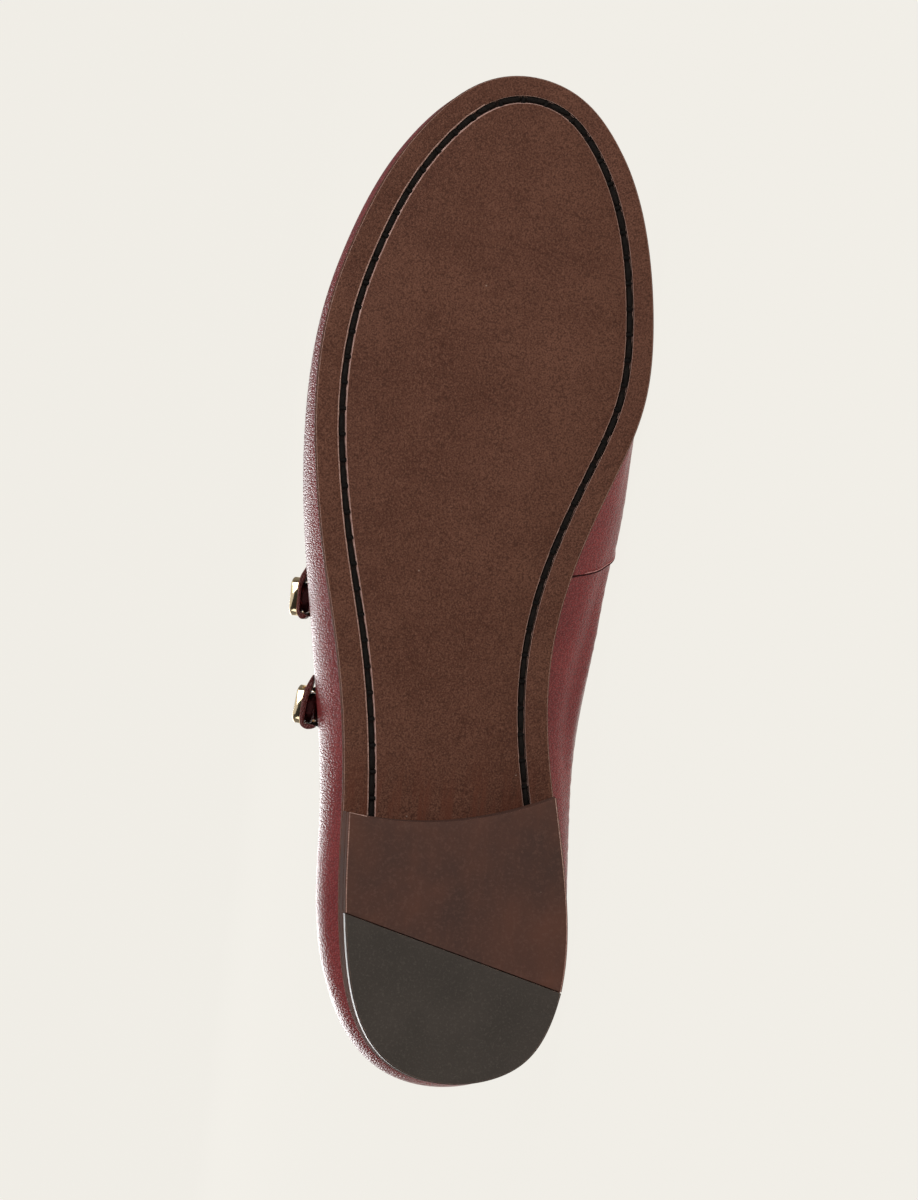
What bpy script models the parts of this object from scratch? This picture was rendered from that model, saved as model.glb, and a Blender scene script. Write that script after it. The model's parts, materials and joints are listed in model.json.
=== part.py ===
"""Right mary jane flat with two buckled straps, lying on its inner side as on a shelf.

The shoe is worked out in its own frame, in millimetres: +X to its outer (little toe) side, +Y from the
back of the heel to the toe, +Z up from the heel's tread. The finished parts are then turned together
so that the shoe lies on its inner side, with the toe along +X and the sole facing -Y.
"""

import math
from collections import namedtuple

import bmesh
import bpy
import numpy as np
from mathutils import Matrix, Vector

MM = 0.001
GAP = 0.3  # between any two pieces
SLACK = 0.1  # more than the gap, where leather lies along a curved wall

# ---------------------------------------------------------------- driving sizes, mm
LENGTH = 253.9
SOLE_THICKNESS = 3.6
HEEL_LIFT = 9.3  # tread to the underside of the sole at the seat
TOP_PIECE = 3.0
HEEL_TAPER = 0.6  # each side, seat to tread
BREAST_OUTER = 67.0  # where the heel's front meets the sole's outer edge
BREAST_INNER = 73.6
BREAST_HOLLOW = 4.0  # how far the middle of the heel's front curves back
RUBBER_OUTER = 42.2  # where the rubber's slanted front edge meets each side
RUBBER_INNER = 24.8
SEAT_END = 74.0  # where the sole starts down from the heel
TREAD_START = 152.0
TREAD_END = 188.0
TOE_SPRING = 8.5
INSOLE_THICKNESS = 2.2
WALL = 2.0
CHANNEL_WIDTH = 2.0
CHANNEL_DEPTH = 1.0
LIP_WIDTH = 1.3  # the slope that leads down to the channel from the sole's edge
LIP_DEPTH = 0.4
SOLE_ROUNDING = 0.9  # of the sole's bottom edge
EDGE_CHAMFER = 0.5  # of the sole's top edge and the insole
HEEL_CHAMFER = 0.3
SIDE_SEAM = 128.6  # where the inner side seam meets the sole
SEAM_LEAN = 20.5  # how far towards the toe it leans on its way up to the topline
SEAM_SPREAD = 60.0  # columns this near it lean with it
SEAM_STEP = 0.5  # the vamp laps over the quarter
SEAM_FADE = 34.0  # how far towards the toe the step takes to fade
STRAP_WIDTH = 6.8
STRAP_THICKNESS = 1.2
STRAP_TUCK = 11.0  # how far a strap reaches down inside the inner quarter

COLUMNS = 88  # round the sole and the upper
ROWS = 11  # from the sole to the topline
HEEL_COLUMNS = 36  # round the back of the heel
BREAST_COLUMNS = 11  # across its front

# Half widths of the sole, each row a section across it.
Section = namedtuple("Section", "y outer inner")
OUTLINE = [
    Section(0, 2.0, -2.0),
    Section(6, 19.4, 16.8),
    Section(16, 26.2, 23.2),
    Section(31, 29.9, 26.3),
    Section(51, 31.5, 25.2),
    Section(71, 31.8, 21.8),
    Section(91, 33.3, 18.7),
    Section(111, 36.7, 18.4),
    Section(131, 41.2, 22.2),
    Section(151, 44.3, 29.5),
    Section(171, 45.6, 36.8),
    Section(191, 43.9, 38.2),
    Section(211, 37.9, 36.1),
    Section(228, 30.0, 31.7),
    Section(242, 19.7, 24.4),
    Section(249, 12.0, 17.9),
    Section(LENGTH, -2.6, 2.6),
]

# How far in from the sole's edge the middle of the stitch channel runs.
Inset = namedtuple("Inset", "y outer inner")
CHANNEL_INSETS = [
    Inset(60, 7.4, 7.0),
    Inset(100, 7.1, 6.9),
    Inset(130, 7.0, 6.8),
    Inset(160, 6.6, 6.5),
    Inset(185, 6.9, 6.2),
    Inset(215, 6.7, 5.9),
    Inset(245, 6.6, 6.0),
]

# The last, as strakes that run from the sole up to the topline. at is the strake's place along the sole,
# inset how far its foot stands inside the sole's edge, x y z its end on the topline, swell and rise its
# handle at the foot, and lean and drop its handle at the topline.
Strake = namedtuple("Strake", "at inset x y z swell rise lean drop")
HEEL_BACK = Strake(0, 1.0, 1.6, 4.4, 62.0, 8.0, 12, 2.5, 17)
TOE = Strake(LENGTH, 1.0, 1.2, 175.5, 44.6, 6.0, 20, 40, 8)
OUTER_SIDE = [
    Strake(16, 1.0, 17.4, 11.0, 60.2, 9.4, 11, 2.5, 18),
    Strake(31, 1.0, 24.6, 26.0, 54.6, 11.6, 10, 3.0, 17),
    Strake(51, 1.0, 29.4, 47.0, 47.0, 10.5, 11, 3.5, 12),
    Strake(71, 1.0, 31.8, 68.0, 43.2, 8.0, 11, 3.5, 10),
    Strake(91, 1.0, 34.6, 88.5, 42.0, 7.6, 12, 3.0, 11),
    Strake(111, 1.0, 37.2, 108.5, 41.6, 7.6, 13, 3.0, 12),
    Strake(131, 1.0, 38.2, 128.5, 41.4, 6.8, 13, 4.5, 12),
    Strake(151, 1.0, 35.2, 146.0, 41.6, 6.2, 14, 9.5, 8),
    Strake(171, 1.0, 28.2, 159.5, 42.3, 6.2, 15, 16, 6),
    Strake(191, 0.9, 20.0, 168.4, 43.1, 6.4, 16, 23, 6),
    Strake(211, 0.9, 13.4, 173.0, 43.9, 7.8, 17, 29, 7),
    Strake(228, 0.8, 8.6, 174.8, 44.3, 8.8, 18, 34, 8),
    Strake(242, 0.8, 4.8, 175.4, 44.5, 9.0, 19, 38, 8),
]
INNER_SIDE = [
    Strake(16, 1.0, -13.8, 11.0, 60.2, 6.0, 10, 2.5, 20),
    Strake(31, 1.0, -20.4, 26.0, 54.8, 6.0, 9, 3.0, 19),
    Strake(51, 1.0, -22.6, 47.0, 47.6, 8.0, 9, 3.5, 13),
    Strake(71, 0.8, -23.4, 68.0, 43.8, 11.2, 9, 4.0, 10),
    Strake(91, 0.6, -24.0, 88.5, 42.4, 15.2, 9, 5.0, 11),
    Strake(111, 0.6, -25.4, 109.5, 42.0, 18.9, 8, 6.5, 12),
    Strake(131, 0.7, -26.0, 130.5, 42.0, 17.5, 8, 9.0, 11),
    Strake(151, 1.0, -23.4, 147.5, 42.6, 14.2, 11, 13, 8),
    Strake(171, 1.2, -18.4, 160.0, 43.4, 5.0, 14, 18, 6),
    Strake(191, 1.2, -13.0, 168.4, 44.0, 2.6, 16, 24, 6),
    Strake(211, 1.2, -8.0, 173.0, 44.4, 3.2, 17, 30, 7),
    Strake(228, 1.1, -4.4, 174.8, 44.5, 4.4, 18, 35, 8),
    Strake(242, 1.0, -1.6, 175.4, 44.6, 4.6, 19, 39, 8),
]

# The straps. y is where a strap crosses the topline, crown its height over the instep, yaw how far its
# buckle turns its toe end towards the foot.
Strap = namedtuple("Strap", "name y crown yaw")
STRAPS = [
    Strap("front", 119.6, 57.0, 1.5),
    Strap("rear", 91.7, 64.0, 7.5),
]

# How a strap arches over the foot: across from the inner topline to the outer one, rise up to the crown.
Arch = namedtuple("Arch", "across rise")
ARCH = [
    Arch(0.03, 0.30),
    Arch(0.13, 0.66),
    Arch(0.29, 0.92),
    Arch(0.47, 1.00),
    Arch(0.65, 0.96),
    Arch(0.81, 0.80),
]

FRAME_WIDTH = 9.9  # along the shoe
FRAME_HEIGHT = 13.0
FRAME_THICKNESS = 2.3
FRAME_RAIL = 1.2
FRAME_CORNER = 2.2
FRAME_LEAN = 25.0  # degrees from upright, the top towards the foot
FRAME_CLEAR = 0.6  # between a strap and the frame
BAR_RADIUS = 0.55
PIN_RADIUS = 0.5
TAB_WIDTH = 6.0
TAB_THICKNESS = 0.8
TAB_DEPTH = 11.0  # down inside the outer quarter
KEEPER_LOW = 30.6  # heights on the wall
KEEPER_HIGH = 35.6
STRAP_TIP = 31.8  # height of a strap's free end, just inside its keeper

# The keepers' bands seen end on: along runs towards the heel, inner and outer are how far their two faces
# stand off the wall. Each is flat on the wall at its toe end and ends in a thick fold at its heel end.
Band = namedtuple("Band", "along inner outer")
KEEPERS = {
    "front": [
        Band(-8.1, 0.32, 0.5),
        Band(-7.1, 0.32, 1.3),
        Band(-6.1, 0.4, 2.0),
        Band(-5.1, 0.95, 2.45),
        Band(-3.8, 1.85, 2.7),
        Band(-2.0, 2.25, 2.95),
        Band(0.0, 2.45, 3.15),
        Band(2.0, 2.7, 3.4),
        Band(3.5, 2.9, 3.55),
        Band(3.9, 1.7, 3.5),
        Band(4.4, 1.2, 3.3),
        Band(4.9, 1.3, 2.95),
        Band(5.25, 1.8, 2.5),
    ],
    "rear": [
        Band(-8.6, 0.32, 0.5),
        Band(-7.5, 0.32, 1.35),
        Band(-6.4, 0.4, 2.1),
        Band(-5.2, 1.0, 2.75),
        Band(-3.8, 1.85, 3.3),
        Band(-2.0, 2.4, 3.8),
        Band(0.0, 2.95, 4.3),
        Band(2.0, 3.45, 4.6),
        Band(3.45, 3.75, 4.7),
        Band(3.8, 2.2, 4.6),
        Band(4.2, 1.0, 4.3),
        Band(4.7, 0.9, 3.8),
        Band(5.05, 1.6, 2.9),
    ],
}

# Each material: red, green, blue, roughness, metallic.
MATERIALS = {
    "sole_leather": (0.10, 0.045, 0.03, 0.62, 0.0),
    "stack_leather": (0.065, 0.03, 0.02, 0.6, 0.0),
    "rubber": (0.045, 0.035, 0.03, 0.75, 0.0),
    "upper_leather": (0.16, 0.022, 0.025, 0.42, 0.0),
    "lining_leather": (0.42, 0.3, 0.2, 0.6, 0.0),
    "gold": (0.83, 0.62, 0.32, 0.22, 1.0),
}


# ---------------------------------------------------------------- curves
def ring_spline(knots, values):
    """A smooth closed curve through values at knots that run from 0 to less than 1."""
    knots = np.asarray(knots, float)
    values = np.asarray(values, float).reshape(len(knots), -1)
    count = len(knots)
    gaps = np.diff(np.append(knots, knots[0] + 1))[:, None]
    before = np.roll(gaps, 1, axis=0)
    slopes = (np.roll(values, -1, axis=0) - values) / gaps
    system = np.zeros((count, count))
    for i in range(count):
        system[i, i - 1] += gaps[i, 0]
        system[i, i] += 2 * (before[i, 0] + gaps[i, 0])
        system[i, (i + 1) % count] += before[i, 0]
    pull = 3 * (gaps * np.roll(slopes, 1, axis=0) + before * slopes)
    tangents = np.linalg.solve(system, pull)

    def at(place):
        place = np.mod(np.atleast_1d(place), 1)
        i = np.clip(np.searchsorted(knots, place, side="right") - 1, 0, count - 1)
        after = (i + 1) % count
        h = gaps[i]
        s = ((place - knots[i])[:, None]) / h
        return (
            (1 + 2 * s) * (1 - s) ** 2 * values[i]
            + s * (1 - s) ** 2 * h * tangents[i]
            + s * s * (3 - 2 * s) * values[after]
            + s * s * (s - 1) * h * tangents[after]
        )

    return at


def through(points, count):
    """count points, evenly spaced, on a smooth open curve through the given ones."""
    points = np.asarray(points, float)
    ends = np.vstack([2 * points[0] - points[1], points, 2 * points[-1] - points[-2]])
    dense = []
    for a, b, c, d in zip(ends, ends[1:], ends[2:], ends[3:]):
        for s in np.linspace(0, 1, 24, endpoint=False):
            swing = 2 * b + (c - a) * s
            bend = (2 * a - 5 * b + 4 * c - d) * s * s
            twist = (3 * b - a - 3 * c + d) * s**3
            dense.append((swing + bend + twist) / 2)
    dense = np.array(dense + [points[-1]])
    run = np.append(0, np.cumsum(np.linalg.norm(np.diff(dense, axis=0), axis=1)))
    wanted = np.linspace(0, run[-1], count)
    return np.column_stack([np.interp(wanted, run, axis) for axis in dense.T])


def smooth_step(value, start, end):
    s = np.clip((np.asarray(value, float) - start) / (end - start), 0, 1)
    return s * s * (3 - 2 * s)


# ---------------------------------------------------------------- the sole's plan and side view
def place_of(y, inner=False):
    """The place on the closed outline, from 0 at the heel round the outer side to 0.5 at the toe."""
    half = math.acos(1 - 2 * y / LENGTH) / math.tau
    return 1 - half if inner else half


def ring_of(heel, outer, toe, inner):
    """Knots and rows of one closed ring, from rows listed heel to toe on each side."""
    rows = [heel, *outer, toe, *reversed(inner)]
    ys = [row[0] for row in rows]
    split = len(outer) + 1
    knots = [place_of(y, inner=i > split) for i, y in enumerate(ys)]
    return knots, rows


OUTLINE_KNOTS, OUTLINE_ROWS = ring_of(
    (OUTLINE[0].y, OUTLINE[0].outer),
    [(row.y, row.outer) for row in OUTLINE[1:-1]],
    (OUTLINE[-1].y, OUTLINE[-1].outer),
    [(row.y, -row.inner) for row in OUTLINE[1:-1]],
)
outline_x = ring_spline(OUTLINE_KNOTS, [row[1] for row in OUTLINE_ROWS])


def outline(places):
    """Points of the sole's edge in plan."""
    places = np.atleast_1d(places)
    y = LENGTH / 2 * (1 - np.cos(math.tau * places))
    return np.column_stack([outline_x(places)[:, 0], y])


def even_places(count):
    """Places spaced evenly along each side, with one at the heel's back and one at the toe."""
    places = []
    for start, end in ((0, 0.5), (0.5, 1)):
        dense = np.linspace(start, end, 1500)
        points = outline(dense)
        run = np.append(0, np.cumsum(np.linalg.norm(np.diff(points, axis=0), axis=1)))
        places.append(np.interp(np.linspace(0, run[-1], count // 2 + 1)[:-1], run, dense))
    return np.concatenate(places)


def outward(points):
    """Unit normals of a closed plan that runs counter-clockwise seen from above."""
    along = np.roll(points, -1, axis=0) - np.roll(points, 1, axis=0)
    normal = np.column_stack([along[:, 1], -along[:, 0]])
    return normal / np.linalg.norm(normal, axis=1)[:, None]


def rim(places, inset):
    """The sole's edge moved inwards, in plan."""
    points = outline(places)
    return points - outward(points) * np.reshape(inset, (-1, 1))


def sole_bottom(y):
    heel = HEEL_LIFT * (1 - smooth_step(y, SEAT_END, TREAD_START))
    past = np.clip((np.asarray(y, float) - TREAD_END) / (LENGTH - TREAD_END), 0, None)
    return heel + TOE_SPRING * past**2


def at_sole(plan, above):
    """Plan points lifted to a height above the underside of the sole."""
    return np.column_stack([plan, sole_bottom(plan[:, 1]) + above])


# ---------------------------------------------------------------- meshes
def material(name):
    red, green, blue, roughness, metallic = MATERIALS[name]
    made = bpy.data.materials.get(name)
    if made is None:
        made = bpy.data.materials.new(name)
        made.use_nodes = True
        shader = made.node_tree.nodes["Principled BSDF"]
        shader.inputs["Base Color"].default_value = (red, green, blue, 1)
        shader.inputs["Roughness"].default_value = roughness
        shader.inputs["Metallic"].default_value = metallic
        made.diffuse_color = (red, green, blue, 1)
    return made


def add_mesh(name, made, collection, slot):
    """An object in a collection from a bmesh in millimetres."""
    bmesh.ops.scale(made, vec=(MM, MM, MM), verts=made.verts)
    mesh = bpy.data.meshes.new(name)
    made.to_mesh(mesh)
    made.free()
    mesh.materials.append(material(slot))
    mesh.shade_smooth()
    mesh.set_sharp_from_angle(angle=math.radians(40))
    piece = bpy.data.objects.new(name, mesh)
    collection.objects.link(piece)
    return piece


def skin(rings):
    """A bmesh with quads between each closed ring and the next."""
    made = bmesh.new()
    grid = [[made.verts.new(point) for point in ring] for ring in rings]
    for low, high in zip(grid, grid[1:]):
        for i in range(len(low)):
            j = (i + 1) % len(low)
            made.faces.new((low[i], low[j], high[j], high[i]))
    return made, grid


def close_across(made, ring):
    """Fills a ring that mirrors about its first point, with a strip of faces from side to side."""
    half = len(ring) // 2
    for i in range(half):
        corners = [ring[i], ring[i + 1], ring[-i - 1], ring[-i % len(ring)]]
        made.faces.new(list(dict.fromkeys(corners)))


def slab(name, rings, slot, collection):
    """A closed solid through rings of one count, filled from side to side at both ends."""
    made, grid = skin(rings)
    close_across(made, grid[0])
    close_across(made, grid[-1])
    bmesh.ops.recalc_face_normals(made, faces=made.faces)
    return add_mesh(name, made, collection, slot)


def bar(name, sections, slot, collection):
    """A closed solid along a path, from its cross sections."""
    made, grid = skin(sections)
    made.faces.new(grid[0])
    made.faces.new(grid[-1])
    bmesh.ops.recalc_face_normals(made, faces=made.faces)
    return add_mesh(name, made, collection, slot)


def wire(name, points, radius, slot, collection):
    """A round wire through points, as a closed mesh."""
    curve = bpy.data.curves.new(name, "CURVE")
    curve.dimensions = "3D"
    curve.bevel_depth = radius * MM
    curve.bevel_resolution = 2
    curve.use_fill_caps = True
    line = curve.splines.new("POLY")
    line.points.add(len(points) - 1)
    for knot, point in zip(line.points, points):
        knot.co = (*(coordinate * MM for coordinate in point), 1)
    guide = bpy.data.objects.new(name, curve)
    collection.objects.link(guide)
    mesh = bpy.data.meshes.new_from_object(guide.evaluated_get(bpy.context.evaluated_depsgraph_get()))
    bpy.data.objects.remove(guide)
    bpy.data.curves.remove(curve)
    made = bmesh.new()
    made.from_mesh(mesh)
    bpy.data.meshes.remove(mesh)
    bmesh.ops.remove_doubles(made, verts=made.verts, dist=1e-7)
    bmesh.ops.recalc_face_normals(made, faces=made.faces)
    bmesh.ops.scale(made, vec=(1 / MM, 1 / MM, 1 / MM), verts=made.verts)
    return add_mesh(name, made, collection, slot)


def combine(piece, tool, operation):
    change = piece.modifiers.new(f"{operation.lower()} {tool.name}", "BOOLEAN")
    change.operation = operation
    change.solver = "EXACT"
    change.object = tool
    tool.hide_render = True
    tool.display_type = "WIRE"


# ---------------------------------------------------------------- sole, heel and insole
def channel_inset(places):
    """How far in from the edge the stitch channel's middle runs at some places."""
    ys = outline(places)[:, 1]
    rows = np.array(CHANNEL_INSETS)
    outer, inner = (np.interp(ys, rows[:, 0], rows[:, side]) for side in (1, 2))
    across = np.clip(outline(places)[:, 0] / CHANNEL_INSETS[-1].outer, -1, 1)
    return (outer + inner) / 2 + (outer - inner) / 2 * across


def channel_rings(places):
    """Rings of the sole's underside from the stitch channel's inner lip out to the edge."""
    middle = channel_inset(places)
    inner = middle + CHANNEL_WIDTH / 2
    outer = middle - CHANNEL_WIDTH / 2
    slant = 0.2  # of the channel's walls
    round_off = SOLE_ROUNDING * (1 - math.sqrt(0.5))
    profile = [
        (inner, 0),
        (inner - slant, CHANNEL_DEPTH),
        (outer + slant, CHANNEL_DEPTH),
        (outer, LIP_DEPTH),
        (outer - LIP_WIDTH, 0),
        (SOLE_ROUNDING, 0),
        (round_off, round_off),
        (0, SOLE_ROUNDING),
    ]
    return [at_sole(rim(places, inset), above) for inset, above in profile]


def make_outsole(parts):
    places = even_places(COLUMNS)
    rings = channel_rings(places)
    rings.append(at_sole(rim(places, 0), SOLE_THICKNESS - EDGE_CHAMFER))
    rings.append(at_sole(rim(places, EDGE_CHAMFER), SOLE_THICKNESS))
    return slab("outsole", rings, "sole_leather", parts)


def make_insole(parts):
    places = even_places(COLUMNS)
    edge = strake_table(places)["inset"] + WALL + GAP
    bottom = SOLE_THICKNESS + GAP
    top = bottom + INSOLE_THICKNESS
    rings = [
        at_sole(rim(places, edge + EDGE_CHAMFER), bottom),
        at_sole(rim(places, edge), bottom + EDGE_CHAMFER),
        at_sole(rim(places, edge), top - EDGE_CHAMFER),
        at_sole(rim(places, edge + EDGE_CHAMFER), top),
    ]
    return slab("insole", rings, "lining_leather", parts)


def heel_ring(inset, height):
    """The heel in plan at one height: back from the outer breast corner, round, and across the breast."""
    back = np.linspace(place_of(BREAST_OUTER), place_of(BREAST_INNER, inner=True) - 1, HEEL_COLUMNS)
    dense = np.linspace(back[0], back[-1], 800)
    points = rim_open(dense, inset)
    run = np.append(0, np.cumsum(np.linalg.norm(np.diff(points, axis=0), axis=1)))
    spaced = np.linspace(0, run[-1], HEEL_COLUMNS)
    round_back = np.column_stack([np.interp(spaced, run, axis) for axis in points.T])
    plan = np.vstack([round_back, breast_between(round_back[-1], round_back[0])])
    return np.column_stack([plan, np.full(len(plan), height)])


def rim_open(places, inset):
    """The sole's edge moved inwards along an open run of places."""
    step = 1e-4
    ahead = outline(np.asarray(places) + step)
    behind = outline(np.asarray(places) - step)
    along = ahead - behind
    normal = np.column_stack([along[:, 1], -along[:, 0]])
    normal /= np.linalg.norm(normal, axis=1)[:, None]
    return outline(places) - normal * inset


def breast_between(inner, outer):
    """Points strictly between two corners, on the hollow curve of the heel's front."""
    share = np.linspace(0, 1, BREAST_COLUMNS + 2)[1:-1, None]
    plan = inner + (outer - inner) * share
    plan[:, 1] -= (4 * BREAST_HOLLOW * share * (1 - share))[:, 0]
    return plan


def heel_block(name, top, bottom, slot, parts):
    """A slice of the heel between two heights, with its taper."""
    def inset(height):
        return HEEL_TAPER * (1 - height / HEEL_LIFT)

    rings = [heel_ring(inset(bottom) + HEEL_CHAMFER, bottom)]
    rings += [heel_ring(inset(z), z) for z in (bottom + HEEL_CHAMFER, top - HEEL_CHAMFER)]
    rings.append(heel_ring(inset(top) + HEEL_CHAMFER, top))
    return bar(name, rings, slot, parts)


def slant_cutter(name, side, cutters):
    """A box whose one face is the slanted line between the leather and the rubber of the tread."""
    outer = rim_open([place_of(RUBBER_OUTER)], 0)[0]
    inner = rim_open([place_of(RUBBER_INNER, inner=True)], 0)[0]
    along = outer - inner
    turn = math.atan2(along[1], along[0])
    middle = (outer + inner) / 2
    made = bmesh.new()
    bmesh.ops.create_cube(made, size=1)
    bmesh.ops.scale(made, vec=(120, 80, 20), verts=made.verts)
    bmesh.ops.translate(made, vec=(0, side * (40 - GAP / 2), 0), verts=made.verts)
    bmesh.ops.rotate(made, matrix=Matrix.Rotation(turn, 3, "Z"), verts=made.verts)
    bmesh.ops.translate(made, vec=(middle[0], middle[1], 0), verts=made.verts)
    return add_mesh(name, made, cutters, "rubber")


def make_heel(parts, cutters):
    stack = heel_block("heel_stack", HEEL_LIFT - GAP, TOP_PIECE + GAP, "stack_leather", parts)
    leather = heel_block("top_piece", TOP_PIECE, 0, "stack_leather", parts)
    rubber = heel_block("rubber_tip", TOP_PIECE, 0, "rubber", parts)
    combine(leather, slant_cutter("behind_slant", -1, cutters), "DIFFERENCE")
    combine(rubber, slant_cutter("before_slant", 1, cutters), "DIFFERENCE")
    return stack, leather, rubber


# ---------------------------------------------------------------- the upper
STRAKE_KNOTS, STRAKE_ROWS = ring_of(HEEL_BACK, OUTER_SIDE, TOE, INNER_SIDE)
strake_values = ring_spline(STRAKE_KNOTS, [row[1:] for row in STRAKE_ROWS])


def strake_table(places):
    values = strake_values(places)
    return {name: values[:, i] for i, name in enumerate(Strake._fields[1:])}


def wall_point(places, up, outwards=0.0):
    """Points of the upper's outer face: up is 0 at the sole and 1 at the topline."""
    places = np.atleast_1d(places)
    table = strake_table(places)
    edge = outline(places)
    side = edge - rim_open(places, 1)
    foot_plan = edge - side * table["inset"][:, None]
    foot = at_sole(foot_plan, SOLE_THICKNESS + GAP)
    top = np.column_stack([table["x"], table["y"], table["z"]])
    step = 1e-4
    run = strake_values(places + step)[:, 1:3] - strake_values(places - step)[:, 1:3]
    away = np.column_stack([run[:, 1], -run[:, 0]])
    away /= np.linalg.norm(away, axis=1)[:, None]
    low = foot.copy()
    low[:, :2] += side * table["swell"][:, None]
    low[:, 2] += table["rise"]
    high = top.copy()
    high[:, :2] += away * table["lean"][:, None]
    high[:, 2] -= table["drop"]
    s = np.reshape(up, (-1, 1))
    point = (1 - s) ** 3 * foot + 3 * s * (1 - s) ** 2 * low + 3 * s * s * (1 - s) * high + s**3 * top
    return point + np.column_stack([side, np.zeros(len(places))]) * np.reshape(outwards, (-1, 1))


def upper_places():
    """Columns of the upper, with a close pair at the inner side seam."""
    seam = place_of(SIDE_SEAM, inner=True)
    places = even_places(COLUMNS)
    near = np.abs(places - seam) < 0.35 / COLUMNS
    return np.sort(np.concatenate([places[~near], [seam - 0.0005, seam]])), seam


def leaning(places, up):
    """Places at a height up the upper, where the columns near the seam lean with it."""
    ys = LENGTH / 2 * (1 - np.cos(math.tau * places))
    near = np.clip(np.abs(ys - SIDE_SEAM) / SEAM_SPREAD, 0, 1)
    ahead = ys + SEAM_LEAN * up * np.cos(near * math.pi / 2) ** 2
    leant = 1 - np.arccos(1 - 2 * ahead / LENGTH) / math.tau
    return np.where((places > 0.5) & (near < 1), leant, places)


def seam_lift(places, seam):
    """How far the vamp stands over the quarter: full at the seam, fading towards the toe."""
    ahead = (seam - places) * math.pi * LENGTH
    return np.where((places < seam - 1e-5) & (places > 0.5), SEAM_STEP * (1 - smooth_step(ahead, 4, SEAM_FADE)), 0)


def make_upper(parts):
    places, seam = upper_places()
    lift = seam_lift(places, seam)
    rings = [wall_point(leaning(places, up), up, lift) for up in np.linspace(0, 1, ROWS + 1)]
    made, _ = skin(rings)
    bmesh.ops.recalc_face_normals(made, faces=made.faces)
    upper = add_mesh("upper", made, parts, "upper_leather")
    wall = upper.modifiers.new("wall", "SOLIDIFY")
    wall.thickness = WALL * MM
    wall.offset = -1
    wall.use_even_offset = True
    return upper


# ---------------------------------------------------------------- straps and buckles
def topline_place(y, inner=False):
    """The strake whose top lies at y along the shoe."""
    dense = np.linspace(0, 0.5, 600)
    dense = 1 - dense if inner else dense
    return float(np.interp(y, strake_table(dense)["y"], dense))


def topline_height(y, inner=False):
    return float(strake_table([topline_place(y, inner)])["z"][0])


def wall_x(y, z, inner=False):
    """How far out the wall's outer face stands at a place along the shoe and a height."""
    middle = topline_place(y, inner)
    places = np.linspace(middle - 0.04, middle + 0.04, 33)
    rise = np.linspace(0, 1, 80)
    found = []
    for place in places:
        strake = wall_point(np.full(len(rise), place), rise)
        found.append([np.interp(z, strake[:, 2], strake[:, axis]) for axis in (1, 0)])
    found = np.array(found)
    found = found[np.argsort(found[:, 0])]
    return float(np.interp(y, found[:, 0], found[:, 1]))


def behind_wall(y, z, depth, inner=False):
    """How far across the shoe a place lies that is this deep behind the wall's outer face."""
    edge = wall_x(y, z, inner)
    rising = (edge - wall_x(y, z - 2, inner)) / 2
    turning = math.tan(wall_turn(y, z, inner))
    level = depth * math.sqrt(1 + rising**2 + turning**2)
    return edge + level if inner else edge - level


def wall_turn(y, z, inner=False):
    """The wall's direction in plan, as radians from +Y towards +X."""
    span = STRAP_WIDTH / 2
    return math.atan2(wall_x(y + span, z, inner) - wall_x(y - span, z, inner), 2 * span)


def plan_direction(turn):
    return np.array([math.sin(turn), math.cos(turn), 0.0])


class Buckle:
    """Axes and heights of one buckle: along its bar, up its strap, and outwards."""

    def __init__(self, strap):
        self.strap = strap
        self.top = topline_height(strap.y)
        edge = wall_x(strap.y, self.top)
        self.centre = np.array([
            edge - WALL / 2,
            strap.y,
            self.top + GAP + TAB_THICKNESS + GAP + BAR_RADIUS,
        ])
        self.turn = -math.radians(strap.yaw)
        lean = math.radians(FRAME_LEAN)
        self.along = plan_direction(self.turn)
        flat_out = np.cross(self.along, (0, 0, 1))
        self.up = np.array([0, 0, math.cos(lean)]) - flat_out * math.sin(lean)
        self.out = np.cross(self.along, self.up)
        self.strap_middle = BAR_RADIUS + GAP + TAB_THICKNESS + GAP + STRAP_THICKNESS / 2
        self.frame_back = self.strap_middle + STRAP_THICKNESS / 2 + FRAME_CLEAR

    def point(self, along, up, out):
        return self.centre + self.along * along + self.up * up + self.out * out


def ribbon(name, rows, width, thickness, slot, parts, tip=0.0):
    """A flat strap along rows of x, y, z and its width's turn in plan. tip is the length of its round end."""
    path, turns = rows[:, :3], rows[:, 3]
    along = np.gradient(path, axis=0)
    along /= np.linalg.norm(along, axis=1)[:, None]
    run = np.append(0, np.cumsum(np.linalg.norm(np.diff(path, axis=0), axis=1)))
    left = np.maximum(run[-1] - run, 0)
    chamfer = thickness * 0.25
    sections = []
    for point, forward, turn, rest in zip(path, along, turns, left):
        wide = plan_direction(turn)
        wide = wide - forward * (wide @ forward)
        wide /= np.linalg.norm(wide)
        face = np.cross(wide, forward)
        near_tip = min(rest / tip, 1) if tip else 1
        half = width / 2 * (0.35 + 0.65 * math.sqrt(1 - (1 - near_tip) ** 2))
        deep = thickness / 2
        corners = [
            (half, deep - chamfer), (half - chamfer, deep), (chamfer - half, deep), (-half, deep - chamfer),
            (-half, chamfer - deep), (chamfer - half, -deep), (half - chamfer, -deep), (half, chamfer - deep),
        ]
        sections.append([point + wide * w + face * t for w, t in corners])
    return bar(name, sections, slot, parts)


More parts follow.
